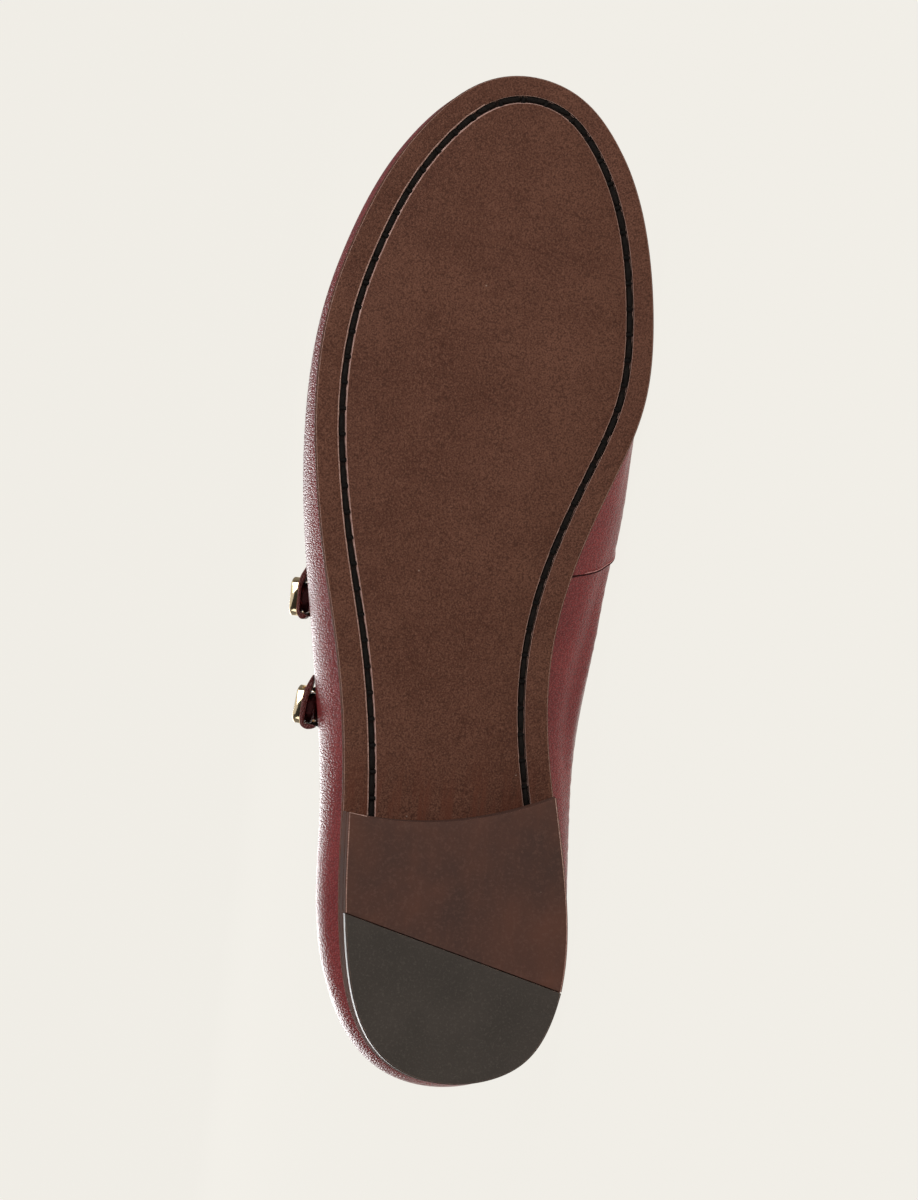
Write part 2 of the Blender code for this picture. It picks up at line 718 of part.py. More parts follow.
def strap_path(buckle):
    """From inside the inner quarter, over the foot and down through the buckle: x, y, z and turn."""
    strap = buckle.strap
    inner_top = topline_height(strap.y, inner=True)
    clear = STRAP_THICKNESS / 2 + GAP + SLACK
    tuck = []
    for z in np.linspace(inner_top - STRAP_TUCK, inner_top, 4):
        x = behind_wall(strap.y, z, WALL + clear, inner=True)
        tuck.append((x, strap.y, z, wall_turn(strap.y, z, inner=True)))
    start, start_turn = tuck[-1][0], tuck[-1][3]
    span = buckle.centre[0] - start
    over = [
        (
            start + span * row.across,
            strap.y,
            inner_top + (strap.crown - inner_top) * row.rise,
            start_turn + (buckle.turn - start_turn) * row.across,
        )
        for row in ARCH
    ]
    in_frame = [(*buckle.point(0, up, buckle.strap_middle), buckle.turn) for up in (5.6, 0, -5.0)]
    stand_off = STRAP_WIDTH / 2 * math.sin(wall_turn(strap.y, KEEPER_LOW) - buckle.turn)
    down_wall = [
        (wall_x(strap.y, z) + clear + stand_off, strap.y, z, buckle.turn)
        for z in (KEEPER_HIGH + 1, KEEPER_HIGH - 1, STRAP_TIP)
    ]
    return tuck + over + in_frame + down_wall


def make_strap(buckle, parts):
    strap = buckle.strap
    path = through(strap_path(buckle), 40)
    return ribbon(f"strap_{strap.name}", path, STRAP_WIDTH, STRAP_THICKNESS, "upper_leather", parts, tip=3.5)


def rounded_rectangle(width, height, radius, inset):
    """Corners of a rectangle with round corners, moved inwards, as pairs."""
    points = []
    middles = [(1, 1), (-1, 1), (-1, -1), (1, -1)]
    for quarter, (right, upper) in enumerate(middles):
        for step in range(5):
            angle = math.radians(90 * quarter + 22.5 * step)
            reach = max(radius - inset, 0.3)
            middle_x = right * (width / 2 - inset - reach)
            middle_y = upper * (height / 2 - inset - reach)
            points.append((middle_x + reach * math.cos(angle), middle_y + reach * math.sin(angle)))
    return points


def make_frame(buckle, parts, cutters):
    """A rectangular frame whose middle bar is set back, so that the strap lies flat under both ends."""
    back = buckle.frame_back
    round_over = 0.5
    profile = [
        (0, back + round_over), (0, back + FRAME_THICKNESS - round_over),
        (round_over, back + FRAME_THICKNESS), (FRAME_RAIL - round_over, back + FRAME_THICKNESS),
        (FRAME_RAIL, back + FRAME_THICKNESS - round_over), (FRAME_RAIL, back + round_over),
        (FRAME_RAIL - round_over, back), (round_over, back),
    ]
    rings = []
    for inset, out in profile:
        corners = rounded_rectangle(FRAME_WIDTH, FRAME_HEIGHT, FRAME_CORNER, inset)
        rings.append([buckle.point(along, up, out) for along, up in corners])
    made, grid = skin(rings)
    for i, corner in enumerate(grid[0]):
        j = (i + 1) % len(grid[0])
        made.faces.new((grid[-1][i], grid[-1][j], grid[0][j], corner))
    bmesh.ops.recalc_face_normals(made, faces=made.faces)
    frame = add_mesh(f"buckle_{buckle.strap.name}", made, parts, "gold")
    side = (FRAME_WIDTH - FRAME_RAIL) / 2
    seat = back + FRAME_THICKNESS / 2
    corner = 0.45
    staple = [
        (-side, seat), (-side, corner), (corner - side, 0), (side - corner, 0), (side, corner), (side, seat),
    ]
    points = [buckle.point(along, 0, out) for along, out in staple]
    middle_bar = wire(f"bar_{buckle.strap.name}", points, BAR_RADIUS, "gold", cutters)
    combine(frame, middle_bar, "UNION")
    return frame


def pin_path(buckle):
    """The pin: an eye round the bar, out through the strap, and onto the frame's upper end."""
    reach = BAR_RADIUS + GAP + PIN_RADIUS
    rest = buckle.frame_back + FRAME_THICKNESS + GAP + PIN_RADIUS
    eye = [math.radians(angle) for angle in range(-230, -40, 26)]
    points = [buckle.point(0, reach * math.sin(a), reach * math.cos(a)) for a in eye]
    points += [buckle.point(0, up, out) for up, out in (
        (1.3, 3.6), (3.1, rest - 1.2), (4.5, rest - 0.05), (5.8, rest), (7.2, rest - 0.1),
    )]
    return through(points, 20)


def make_pin(buckle, parts, cutters, strap, tab):
    name = buckle.strap.name
    path = pin_path(buckle)
    pin = wire(f"pin_{name}", path, PIN_RADIUS, "gold", parts)
    longer = np.vstack([2 * path[0] - path[1], path])
    slot = wire(f"slot_{name}", longer, PIN_RADIUS + GAP, "gold", cutters)
    combine(strap, slot, "DIFFERENCE")
    combine(tab, slot, "DIFFERENCE")
    return pin


def make_tab(buckle, parts):
    """A thin leather tab from inside the outer quarter, folded over the buckle's bar."""
    strap = buckle.strap
    deep = WALL + GAP + SLACK + TAB_THICKNESS / 2
    inside = []
    for z in np.linspace(buckle.top - TAB_DEPTH, buckle.top - GAP, 4):
        inside.append((behind_wall(strap.y, z, deep), strap.y, z, wall_turn(strap.y, z)))
    reach = BAR_RADIUS + GAP + TAB_THICKNESS / 2
    fold = []
    for degrees in range(180, -41, -27):
        angle = math.radians(degrees)
        swing = np.array([math.cos(angle), 0, math.sin(angle)]) * reach
        fold.append((*(buckle.centre + swing), buckle.turn))
    path = through(inside + fold, 20)
    return ribbon(f"tab_{strap.name}", path, TAB_WIDTH, TAB_THICKNESS, "upper_leather", parts)


def make_keeper(buckle, parts):
    """A leather loop on the wall under the buckle, its toe end flat and its heel end standing off."""
    strap = buckle.strap
    toe_ward = plan_direction(wall_turn(strap.y, KEEPER_LOW))
    away = np.cross(toe_ward, (0, 0, 1))
    sections = []
    for band in KEEPERS[strap.name]:
        section = []
        for z, off in (
            (KEEPER_LOW, band.inner), (KEEPER_HIGH, band.inner), (KEEPER_HIGH, band.outer), (KEEPER_LOW, band.outer),
        ):
            foot = np.array([wall_x(strap.y, z), strap.y, z])
            section.append(foot - toe_ward * band.along + away * off)
        sections.append(section)
    return bar(f"keeper_{strap.name}", sections, "upper_leather", parts)


# ---------------------------------------------------------------- how it lies
DENSITY = {"gold": 7.0, "rubber": 1.1}
LEATHER_DENSITY = 0.9


def evaluated(piece):
    made = bmesh.new()
    made.from_object(piece, bpy.context.evaluated_depsgraph_get())
    return made


def resting_turn(pieces):
    """The rotation that lays the shoe's inner side on the floor, toe along +X, sole facing -Y."""
    corners = []
    weight = 0.0
    balance = np.zeros(3)
    for piece in pieces:
        made = evaluated(piece)
        bmesh.ops.triangulate(made, faces=made.faces)
        dense = DENSITY.get(piece.data.materials[0].name, LEATHER_DENSITY)
        faces = np.array([[vert.co for vert in face.verts] for face in made.faces])
        wedges = np.einsum("ij,ij->i", faces[:, 0], np.cross(faces[:, 1], faces[:, 2])) / 6 * dense
        weight += wedges.sum()
        balance += (faces.sum(axis=1) / 4 * wedges[:, None]).sum(axis=0)
        corners += [vert.co.copy() for vert in made.verts]
        made.free()
    balance = Vector(balance / weight)
    hull = bmesh.new()
    bmesh.ops.convex_hull(hull, input=[hull.verts.new(corner) for corner in corners])
    inner = Vector((-1, 0, 0))
    seats = []
    for face in hull.faces:
        foot = balance - face.normal * (balance - face.verts[0].co).dot(face.normal)
        if face.normal.dot(inner) > 0.6 and bmesh.geometry.intersect_face_point(face, foot):
            seats.append((face.normal.dot(inner), face.normal.copy()))
    down = max(seats, key=lambda seat: seat[0])[1]
    hull.free()
    up = -down
    toe = Vector((0, 1, 0))
    toe = (toe - up * toe.dot(up)).normalized()
    turn = Matrix((toe, up.cross(toe), up))
    turned = np.array([turn @ corner for corner in corners])
    low, high = turned.min(axis=0), turned.max(axis=0)
    place = Vector((-(low[0] + high[0]) / 2, -(low[1] + high[1]) / 2, -low[2]))
    return Matrix.Translation(place) @ turn.to_4x4()


# ---------------------------------------------------------------- put together
def main():
    for old in list(bpy.data.objects):
        bpy.data.objects.remove(old)
    parts = bpy.data.collections.new("mary_jane_shoe")
    cutters = bpy.data.collections.new("cutters")
    for collection in (parts, cutters):
        bpy.context.scene.collection.children.link(collection)
    make_outsole(parts)
    make_heel(parts, cutters)
    make_insole(parts)
    make_upper(parts)
    for strap in STRAPS:
        buckle = Buckle(strap)
        leather = make_strap(buckle, parts)
        tab = make_tab(buckle, parts)
        make_frame(buckle, parts, cutters)
        make_pin(buckle, parts, cutters, leather, tab)
        make_keeper(buckle, parts)
    stand = bpy.data.objects.new("shoe_frame", None)
    bpy.context.scene.collection.objects.link(stand)
    stand.matrix_world = resting_turn(list(parts.objects))
    for piece in (*parts.objects, *cutters.objects):
        piece.parent = stand


main()
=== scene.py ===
"""A right mary jane flat with two buckled straps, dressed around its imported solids.

The shoe's own frame, in millimetres, is +X to its outer side, +Y from the heel's back to the toe and
+Z up from the tread. Pieces are made in that frame or from copies of the solids, and then stand in
the row frame, in metres, where the shoe lies on its inner side.
"""

import json
import math

import bmesh
import bpy
import numpy as np
from mathutils import Matrix, Vector
from mathutils.bvhtree import BVHTree


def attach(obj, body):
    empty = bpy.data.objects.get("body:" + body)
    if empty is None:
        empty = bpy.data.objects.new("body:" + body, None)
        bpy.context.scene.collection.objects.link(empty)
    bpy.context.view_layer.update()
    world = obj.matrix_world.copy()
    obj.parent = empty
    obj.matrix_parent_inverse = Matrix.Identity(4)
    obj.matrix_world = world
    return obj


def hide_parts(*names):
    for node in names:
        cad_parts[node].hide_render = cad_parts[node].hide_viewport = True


MM = 0.001
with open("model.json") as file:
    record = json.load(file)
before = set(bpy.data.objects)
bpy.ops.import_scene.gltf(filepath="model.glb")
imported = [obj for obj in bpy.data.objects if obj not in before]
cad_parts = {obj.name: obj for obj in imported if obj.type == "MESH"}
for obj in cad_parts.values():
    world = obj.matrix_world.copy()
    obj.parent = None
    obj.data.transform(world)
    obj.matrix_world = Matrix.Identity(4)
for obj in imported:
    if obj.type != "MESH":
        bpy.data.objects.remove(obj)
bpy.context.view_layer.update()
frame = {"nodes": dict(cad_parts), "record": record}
nodes = frame["nodes"]


# ------------------------------------------------------------------ the shoe's own frame
HEEL_MARK = Vector((3, 54, 0))  # where the mount under the heel lies in the shoe's frame
FOOT_MIDDLE = 4.0  # the line through the middle of the foot


def shoe_frame():
    """The matrix from the shoe's frame, in millimetres, to the row frame, in metres."""
    mounts = {mount["name"]: mount for mount in frame["record"]["mounts"]}
    heel = Vector(mounts["heel_tread"]["pos_m"])
    fore = Vector(mounts["forefoot_tread"]["pos_m"])
    up = -Vector(mounts["heel_tread"]["axis"]).normalized()
    toe = (fore - heel).normalized()
    out = toe.cross(up)
    turn = Matrix((out, toe, up)).transposed()
    origin = heel - turn @ HEEL_MARK * MM
    return Matrix.Translation(origin) @ turn.to_4x4() @ Matrix.Scale(MM, 4)


SHOE = shoe_frame()
SHOE_BACK = SHOE.inverted()
SHOE_TURN = SHOE.to_3x3().normalized()
BACK_TURN = SHOE_BACK.to_3x3().normalized()
TOE, UP = (SHOE_TURN @ Vector(axis) for axis in ((0, 1, 0), (0, 0, 1)))


# ------------------------------------------------------------------ shader sums
class Signal:
    """A shader socket that can be used in sums."""

    def __init__(self, finish, socket):
        self.finish = finish
        self.socket = socket

    def sum(self, operation, first, second):
        """The Math node that works out one operation."""
        return self.finish.node("Math", {"operation": operation}, {0: first, 1: second})

    def __add__(self, other):
        return self.sum("ADD", self, other)

    def __radd__(self, other):
        return self.sum("ADD", other, self)

    def __sub__(self, other):
        return self.sum("SUBTRACT", self, other)

    def __rsub__(self, other):
        return self.sum("SUBTRACT", other, self)

    def __mul__(self, other):
        return self.sum("MULTIPLY", self, other)

    def __rmul__(self, other):
        return self.sum("MULTIPLY", other, self)


class Finish:
    """One material: its shader's constants, and the nodes that vary it over the surface."""

    def __init__(self, name, constants):
        self.material = bpy.data.materials.new(name)
        self.material.use_nodes = True
        self.tree = self.material.node_tree
        self.shader = self.tree.nodes["Principled BSDF"]
        for socket, value in constants.items():
            self.shader.inputs[socket].default_value = value

    def node(self, kind, settings, inputs, output=0):
        """Adds a node with its settings, then the values or links of its inputs."""
        made = self.tree.nodes.new("ShaderNode" + kind)
        for key, value in settings.items():
            setattr(made, key, value)
        for key, value in inputs.items():
            if isinstance(value, Signal):
                self.tree.links.new(value.socket, made.inputs[key])
            else:
                made.inputs[key].default_value = value
        return Signal(self, made.outputs[output])

    def where(self, stretch):
        """The surface's place in millimetres, along the row's axes, each multiplied by stretch."""
        here = self.node("TexCoord", {}, {}, "Object")
        scale = [axis / MM for axis in stretch]
        return self.node("VectorMath", {"operation": "MULTIPLY"}, {0: here, 1: scale})

    def along(self, axis, start):
        """How many millimetres the surface lies along an axis of the shoe, from a point of its frame."""
        here = self.node("TexCoord", {}, {}, "Object")
        run = self.node("VectorMath", {"operation": "DOT_PRODUCT"}, {0: here, 1: axis / MM}, "Value")
        return run - axis.dot(SHOE @ Vector(start)) / MM

    def noise(self, size, detail, rough, warp=0.0, stretch=(1, 1, 1)):
        """Cloudy noise from 0 to 1 whose largest spots are size millimetres wide."""
        inputs = {
            "Vector": self.where(stretch),
            "Scale": 1 / size,
            "Detail": detail,
            "Roughness": rough,
            "Distortion": warp,
        }
        return self.node("TexNoise", {}, inputs, "Fac")

    def cells(self, size, jitter=1.0, stretch=(1, 1, 1)):
        """Distance from the middles of cells that are size millimetres wide."""
        inputs = {"Vector": self.where(stretch), "Scale": 1 / size, "Randomness": jitter}
        return self.node("TexVoronoi", {"feature": "F1"}, inputs, "Distance")

    def fit(self, value, low, high, new_low=0.0, new_high=1.0):
        """A value from low to high, moved to a new range and held inside it."""
        inputs = {"Value": value, 1: low, 2: high, 3: new_low, 4: new_high}
        return self.node("MapRange", {"clamp": True}, inputs)

    def mix(self, share, first, second):
        """A colour between two others."""
        inputs = {0: share, 6: self.four(first), 7: self.four(second)}
        return self.node("Mix", {"data_type": "RGBA"}, inputs, 2)

    def four(self, colour):
        """A colour as a Mix node takes it: linked, or with its alpha."""
        return colour if isinstance(colour, Signal) else (*colour, 1)

    def patches(self, noise, dark, light):
        """A colour that turns with a noise from dark to light."""
        return self.mix(self.fit(noise, 0.35, 0.65), dark, light)

    def specks(self, size, colour, pale):
        """A colour with small pale specks in it, about size millimetres apart."""
        return self.mix(self.fit(self.cells(size), 0.028, 0.018) * 0.6, colour, pale)

    def spread(self, noise, low, high):
        """A noise spread over a range of roughness."""
        return self.fit(noise, 0.3, 0.7, low, high)

    def on_tread(self):
        """1 where the surface faces down, as a tread does, and 0 at the sides."""
        normal = self.node("NewGeometry", {}, {}, "Normal")
        facing = self.node("VectorMath", {"operation": "DOT_PRODUCT"}, {0: normal, 1: UP}, "Value")
        return self.fit(facing * -1, 0.5, 0.75)

    def bump(self, height, depth):
        """Turns a height from 0 to 1 into a surface that is depth millimetres deep."""
        inputs = {"Height": height, "Distance": depth * MM, "Strength": 1.0}
        self.feed("Normal", self.node("Bump", {}, inputs))

    def feed(self, socket, value):
        """Links a value to one of the shader's own sockets."""
        self.tree.links.new(value.socket, self.shader.inputs[socket])


# ------------------------------------------------------------------ finishes
WAIST_FRONT = 84.0  # the waist is stained from here to the heel
WAIST_SHADE = 16.0  # how far back the stain takes to reach its full depth
LAYER = 1.9  # one lift of the heel's stack
GRAIN = (1, 1, 1.4)  # this and the next multiply a noise's places along the shoe, up it and across it
STREAK = (0.25, 1, 2.4)
STACK_STREAK = (0.3, 1, 1)
PEBBLE = (1.2, 0.36, 1)  # narrow along the shoe and long up its walls


def sole_leather():
    """Brown leather, cloudy and scuffed, with a red stain in streaks at the waist."""
    finish = Finish("sole_leather", {"Specular IOR Level": 0.06})
    clouds = finish.noise(38, 3.0, 0.55, 0.5)
    smudges = finish.noise(8, 4.0, 0.6, 0.8)
    grain = finish.noise(0.6, 2.0, 0.7, 0.0, GRAIN)
    fine = finish.cells(0.4)
    tone = finish.fit(clouds * 0.55 + smudges * 0.45, 0.36, 0.64)
    colour = finish.mix(tone, (0.08, 0.0305, 0.0195), (0.125, 0.053, 0.0345))
    colour = finish.mix(finish.fit(grain, 0.46, 0.64) * 0.6, colour, (0.175, 0.08, 0.053))
    colour = finish.mix(finish.fit(fine, 0.45, 0.75) * 0.65, colour, (0.04, 0.016, 0.0105))
    waist = finish.along(TOE, (0, WAIST_FRONT, 0))
    streaks = finish.fit(finish.noise(5, 3.0, 0.6, 0.0, STREAK), 0.45, 0.62)
    shade = finish.fit(waist, -WAIST_SHADE, 0.0, 0.75, 0.0) * streaks
    colour = finish.mix(shade, colour, (0.112, 0.037, 0.022))
    finish.feed("Base Color", finish.specks(8.5, colour, (0.34, 0.24, 0.19)))
    finish.feed("Roughness", finish.spread(smudges * 0.5 + grain * 0.5, 0.58, 0.76))
    finish.bump(grain * 0.6 - fine * 0.5 + smudges * 0.5, 0.22)
    return finish.material


def channel_painted_shade():
    """The bottom of the stitch channel and its outer wall, painted near black: painted shade in the
    groove.
    """
    finish = Finish("channel_painted_shade", {"Specular IOR Level": 0.08})
    grain = finish.noise(0.8, 3.0, 0.6)
    finish.feed("Base Color", finish.mix(grain, (0.006, 0.004, 0.0035), (0.02, 0.012, 0.0095)))
    finish.feed("Roughness", finish.spread(grain, 0.6, 0.85))
    finish.bump(grain, 0.25)
    return finish.material


def raw_edge():
    """Cut leather, lighter than its dyed face."""
    finish = Finish("raw_edge", {"Specular IOR Level": 0.4, "Roughness": 0.6})
    fibre = finish.noise(1.1, 4.0, 0.7)
    finish.feed("Base Color", finish.patches(fibre, (0.34, 0.16, 0.125), (0.78, 0.52, 0.45)))
    finish.bump(fibre, 0.12)
    return finish.material


def stack_leather():
    """The heel's leather, darker than the sole, with a dark line between its lifts."""
    finish = Finish("stack_leather", {"Specular IOR Level": 0.14})
    clouds = finish.noise(26, 3.0, 0.5, 0.5)
    streaks = finish.noise(7, 4.0, 0.6, 0.0, STACK_STREAK)
    grain = finish.noise(0.9, 3.0, 0.7)
    tone = finish.fit(clouds * 0.7 + streaks * 0.3, 0.36, 0.62)
    colour = finish.mix(tone, (0.052, 0.026, 0.02), (0.088, 0.036, 0.024))
    colour = finish.mix(finish.fit(grain, 0.5, 0.68) * 0.35, colour, (0.12, 0.06, 0.045))
    layers = finish.along(UP, (0, 0, 0)) * (1 / LAYER)
    lift = finish.node("Math", {"operation": "FRACT"}, {0: layers})
    side = 1 - finish.on_tread()
    line = finish.fit(lift, 0.05, 0.14, 1.0, 0.0) * side
    colour = finish.mix(line * 0.7, colour, (0.02, 0.011, 0.009))
    finish.feed("Base Color", finish.specks(8.0, colour, (0.3, 0.2, 0.16)))
    finish.feed("Roughness", finish.spread(grain * 0.5 + clouds * 0.5, 0.55, 0.7) + side * 0.25)
    finish.bump(grain * 0.6 + streaks * 0.4 - line * 0.8, 0.12)
    return finish.material


def heel_corner_highlight():
    """A heel's rounded corner painted pale in patches: a painted highlight where the edge catches light.
    """
    finish = Finish("heel_corner_highlight", {"Specular IOR Level": 0.45, "Roughness": 0.45})
    rubbed_and_highlight = finish.noise(3.2, 4.0, 0.7)
    colour = finish.mix(finish.fit(rubbed_and_highlight, 0.4, 0.6), (0.11, 0.05, 0.036), (0.44, 0.26, 0.2))
    finish.feed("Base Color", colour)
    finish.bump(rubbed_and_highlight, 0.1)
    return finish.material


def rubber():
    """The heel's rubber, a little glossier at its sides than on the tread."""
    finish = Finish("rubber", {"Specular IOR Level": 0.16})
    fine = finish.noise(0.6, 3.0, 0.7)
    clouds = finish.noise(14, 3.0, 0.5)
    colour = finish.patches(clouds, (0.038, 0.031, 0.026), (0.047, 0.038, 0.032))
    colour = finish.mix(finish.fit(fine, 0.52, 0.7) * 0.4, colour, (0.09, 0.076, 0.064))
    finish.feed("Base Color", colour)
    finish.feed("Roughness", finish.spread(fine, 0.32, 0.42) + finish.on_tread() * 0.25)
    finish.bump(fine, 0.08)
    return finish.material


def upper_leather(name, deep, pale):
    """Burgundy leather with a fine pebbled grain that catches pale light where it turns away; its furrows
    hold painted shade and its crowns a painted highlight.
    """
    finish = Finish(name, {"Specular IOR Level": 0.27})
    pebbles = finish.cells(0.52, 0.9, PEBBLE)
    ripples = finish.noise(2.2, 3.0, 0.6, 0.4, PEBBLE)
    clouds = finish.noise(22, 2.0, 0.5)
    tone = finish.fit(clouds * 0.6 + ripples * 0.4, 0.35, 0.65)
    colour = finish.mix(tone, deep, pale)
    # painted shade in the grain's furrows, and a painted highlight on its crowns
    furrow_shade = finish.fit(pebbles, 0.36, 0.66)
    colour = finish.mix(furrow_shade * 0.42, colour, tuple(part * 0.3 for part in deep))
    crown_highlight = finish.fit(pebbles, 0.26, 0.06)
    finish.feed("Base Color", finish.mix(crown_highlight * 0.4, colour, (0.36, 0.12, 0.11)))
    finish.feed("Roughness", finish.spread(ripples, 0.29, 0.34))
    finish.bump(ripples * 0.1 - pebbles, 0.26)
    return finish.material


def lining_leather():
    """Tan leather for the lining and the sock."""
    finish = Finish("lining_leather", {"Specular IOR Level": 0.3})
    grain = finish.noise(0.9, 4.0, 0.6)
    clouds = finish.noise(18, 3.0, 0.5)
    finish.feed("Base Color", finish.patches(clouds, (0.4, 0.27, 0.17), (0.5, 0.35, 0.23)))
    finish.feed("Roughness", finish.spread(grain, 0.55, 0.72))
    finish.bump(grain, 0.1)
    return finish.material


def fibres(name, dark, light):
    """A dull finish with fine fibres, for thread, cut edges, painted highlight and shadow lines, and the
    buckles' bars painted dark as shade.
    """
    finish = Finish(name, {"Specular IOR Level": 0.1, "Roughness": 0.75})
    fibre = finish.noise(0.5, 3.0, 0.7)
    finish.feed("Base Color", finish.patches(fibre, dark, light))
    finish.bump(fibre, 0.12)
    return finish.material


def gold():
    """Pale polished gold with a few smears."""
    finish = Finish("gold", {"Metallic": 1.0})
    smear = finish.noise(3.5, 3.0, 0.6)
    colour = finish.mix(finish.fit(smear, 0.3, 0.7), (0.9, 0.68, 0.41), (0.94, 0.77, 0.52))
    finish.feed("Base Color", colour)
    finish.feed("Roughness", finish.spread(smear, 0.04, 0.09))
    return finish.material


FINISHES = {
    "sole": sole_leather(),
    # the channel's near-black colour is painted shade
    "channel": channel_painted_shade(),
    "raw": raw_edge(),
    "stack": stack_leather(),
    # pale patches painted along the heel's corners as highlight
    "corner_highlight": heel_corner_highlight(),
    "rubber": rubber(),
    "upper": upper_leather("upper_leather", (0.182, 0.02, 0.0208), (0.248, 0.034, 0.0338)),
    "strap": upper_leather("strap_leather", (0.16, 0.02, 0.021), (0.22, 0.034, 0.034)),
    # the tab is painted near black: painted shade in the gap between the strap and the wall
    "tab": upper_leather("tab_leather", (0.022, 0.008, 0.007), (0.04, 0.013, 0.011)),
    "trim": upper_leather("trim_leather", (0.085, 0.018, 0.016), (0.13, 0.03, 0.026)),
    "lining": lining_leather(),
    "sole_thread": fibres("sole_thread", (0.002, 0.0015, 0.0013), (0.011, 0.008, 0.0065)),
    # a pale finish for the painted highlights along the sole's edges, the channel's lip and the heel's
    # tread
    "painted_edge_highlight": fibres("painted_edge_highlight", (0.2, 0.1, 0.078), (0.44, 0.28, 0.23)),
    "knot": fibres("knot_thread", (0.002, 0.0015, 0.0015), (0.008, 0.006, 0.005)),
    # a pale finish for the keepers' rubbed edges and the painted highlight along the vamp's edge
    "rubbed_and_highlight": fibres("rubbed_edge_and_highlight", (0.36, 0.14, 0.135), (0.56, 0.28, 0.265)),
    # dark edge paint, which also serves as painted shade on the vamp's step, the strap's tip and the
    # seam's shadow line
    "cut": fibres("cut_edge_and_shade", (0.014, 0.002, 0.002), (0.04, 0.007, 0.007)),
    "upper_thread": fibres("upper_thread", (0.06, 0.008, 0.01), (0.13, 0.025, 0.028)),
    "gold": gold(),
    # the buckles' bars are painted near black as the shade they lie in
    "bar": fibres("bar_painted_shade", (0.006, 0.004, 0.003), (0.016, 0.011, 0.008)),
}


# ------------------------------------------------------------------ at the bench
MERGE = 2e-6  # metres; a solid's loose triangles are joined where they meet
FLAT = math.radians(12)  # two triangles as flat as this, and as square as the next, make a quad
SQUARE = math.radians(70)
SMOOTHING = 2  # rounds of subdivision
LOOK = 0.2  # how far each way a walk looks for its direction
LINE_ROUNDING = 2  # steps in a quarter of a fine line's round
ROUND = 20  # sides of a rod
STITCH_SIDES = 8
STITCH_CUTS = (-0.3, 0, 0.3)  # where its length is cut, so that it can bend
STITCH_SLIM = 0.5  # how much thinner its ends are
STITCH_DIP = 0.7  # how far they turn down, as a share of its height


def take(*pieces):
    """Makes these the only selected pieces, and the first of them the active one."""
    if bpy.context.object and bpy.context.object.mode != "OBJECT":
        bpy.ops.object.mode_set(mode="OBJECT")
    bpy.ops.object.select_all(action="DESELECT")
    for piece in pieces:
        piece.select_set(True)
    bpy.context.view_layer.objects.active = pieces[0]


def new_object(name, data):
    """A new object in the scene."""
    made = bpy.data.objects.new(name, data)
    bpy.context.scene.collection.objects.link(made)
    return made


def edit(piece, mode="EDGE"):
    """Opens one piece in edit mode with nothing selected."""
    take(piece)
    bpy.ops.object.mode_set(mode="EDIT")
    bpy.ops.mesh.select_mode(type=mode)
    bpy.ops.mesh.select_all(action="DESELECT")


def done():
    """Leaves edit mode."""
    bpy.ops.object.mode_set(mode="OBJECT")


def copy_of(node, name, *finishes):
    """A solid's mesh as a new piece, merged and made of quads where it can be."""
    piece = new_object(name, nodes[node].data.copy())
    piece.data.name = name
    piece.data.materials.clear()
    for finish in finishes:
        piece.data.materials.append(FINISHES[finish])
    take(piece)
    if piece.data.has_custom_normals:
        bpy.ops.mesh.customdata_custom_splitnormals_clear()
    edit(piece, "VERT")
    bpy.ops.mesh.select_all(action="SELECT")
    bpy.ops.mesh.remove_doubles(threshold=MERGE)
    bpy.ops.mesh.mark_sharp(clear=True)
    bpy.ops.mesh.tris_convert_to_quads(face_threshold=FLAT, shape_threshold=SQUARE)
    done()
    piece.data.shade_smooth()
    return piece


def crease(piece, degrees, amount=1.0):
    """Holds edges sharper than some degrees when the piece is smoothed."""
    edit(piece)
    bpy.ops.mesh.edges_select_sharp(sharpness=math.radians(degrees))
    bpy.ops.transform.edge_crease(value=amount)
    done()


def apply(piece, kind, **settings):
    """Adds a modifier and applies it."""
    take(piece)
    change = piece.modifiers.new(kind.lower(), kind)
    for key, value in settings.items():
        setattr(change, key, value)
    bpy.ops.object.modifier_apply(modifier=change.name)


def fatten(piece, amount):
    """Moves a piece's faces out by some millimetres."""
    edit(piece, "FACE")
    bpy.ops.mesh.select_all(action="SELECT")
    bpy.ops.transform.shrink_fatten(value=amount * MM)
    done()


def push(piece, move):
    """Moves each of a piece's points along its normal by its own number of millimetres."""
    spots = np.array([vertex.co for vertex in piece.data.vertices])
    normals = np.array([vertex.normal for vertex in piece.data.vertices])
    spots += normals * (move * MM)[:, None]
    piece.data.vertices.foreach_set("co", spots.ravel())
    piece.data.update()


def smooth(piece):
    """Rounds a piece off between its creases."""
    apply(piece, "SUBSURF", levels=SMOOTHING, render_levels=SMOOTHING)
    piece.data.shade_smooth()


def bevel_edges(piece, width, degrees, index, segments=1):
    """Bevels the edges sharper than some degrees, in one of the piece's finishes."""
    angle = math.radians(degrees)
    apply(piece, "BEVEL", width=width * MM, segments=segments, angle_limit=angle, material=index)


def soften(piece, degrees):
    """Shades a piece smooth but for edges sharper than some degrees."""
    take(piece)
    bpy.ops.object.shade_smooth_by_angle(angle=math.radians(degrees))


def stand(piece):
    """Moves a piece that was made in the shoe's frame to where the shoe lies."""
    take(piece)
    piece.matrix_world = SHOE @ piece.matrix_world
    bpy.ops.object.transform_apply(location=True, rotation=True, scale=True)


def place(piece, slot, *replaced):
    """The piece rides on the shoe and stands for some solids, which are hidden. Its slot is not used."""
    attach(piece, "root")
    if replaced:
        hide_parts(*replaced)


def in_shoe(piece):
    """A piece's points in the shoe's frame, in millimetres."""
    turn = np.array(SHOE_BACK)
    points = np.array([vertex.co for vertex in piece.data.vertices])
    return points @ turn[:3, :3].T + turn[:3, 3]


def shoe_shape(piece):
    """A piece's mesh in the shoe's frame, to measure; it is freed after use."""
    shape = bmesh.new()
    shape.from_mesh(piece.data)
    shape.transform(SHOE_BACK)
    return shape


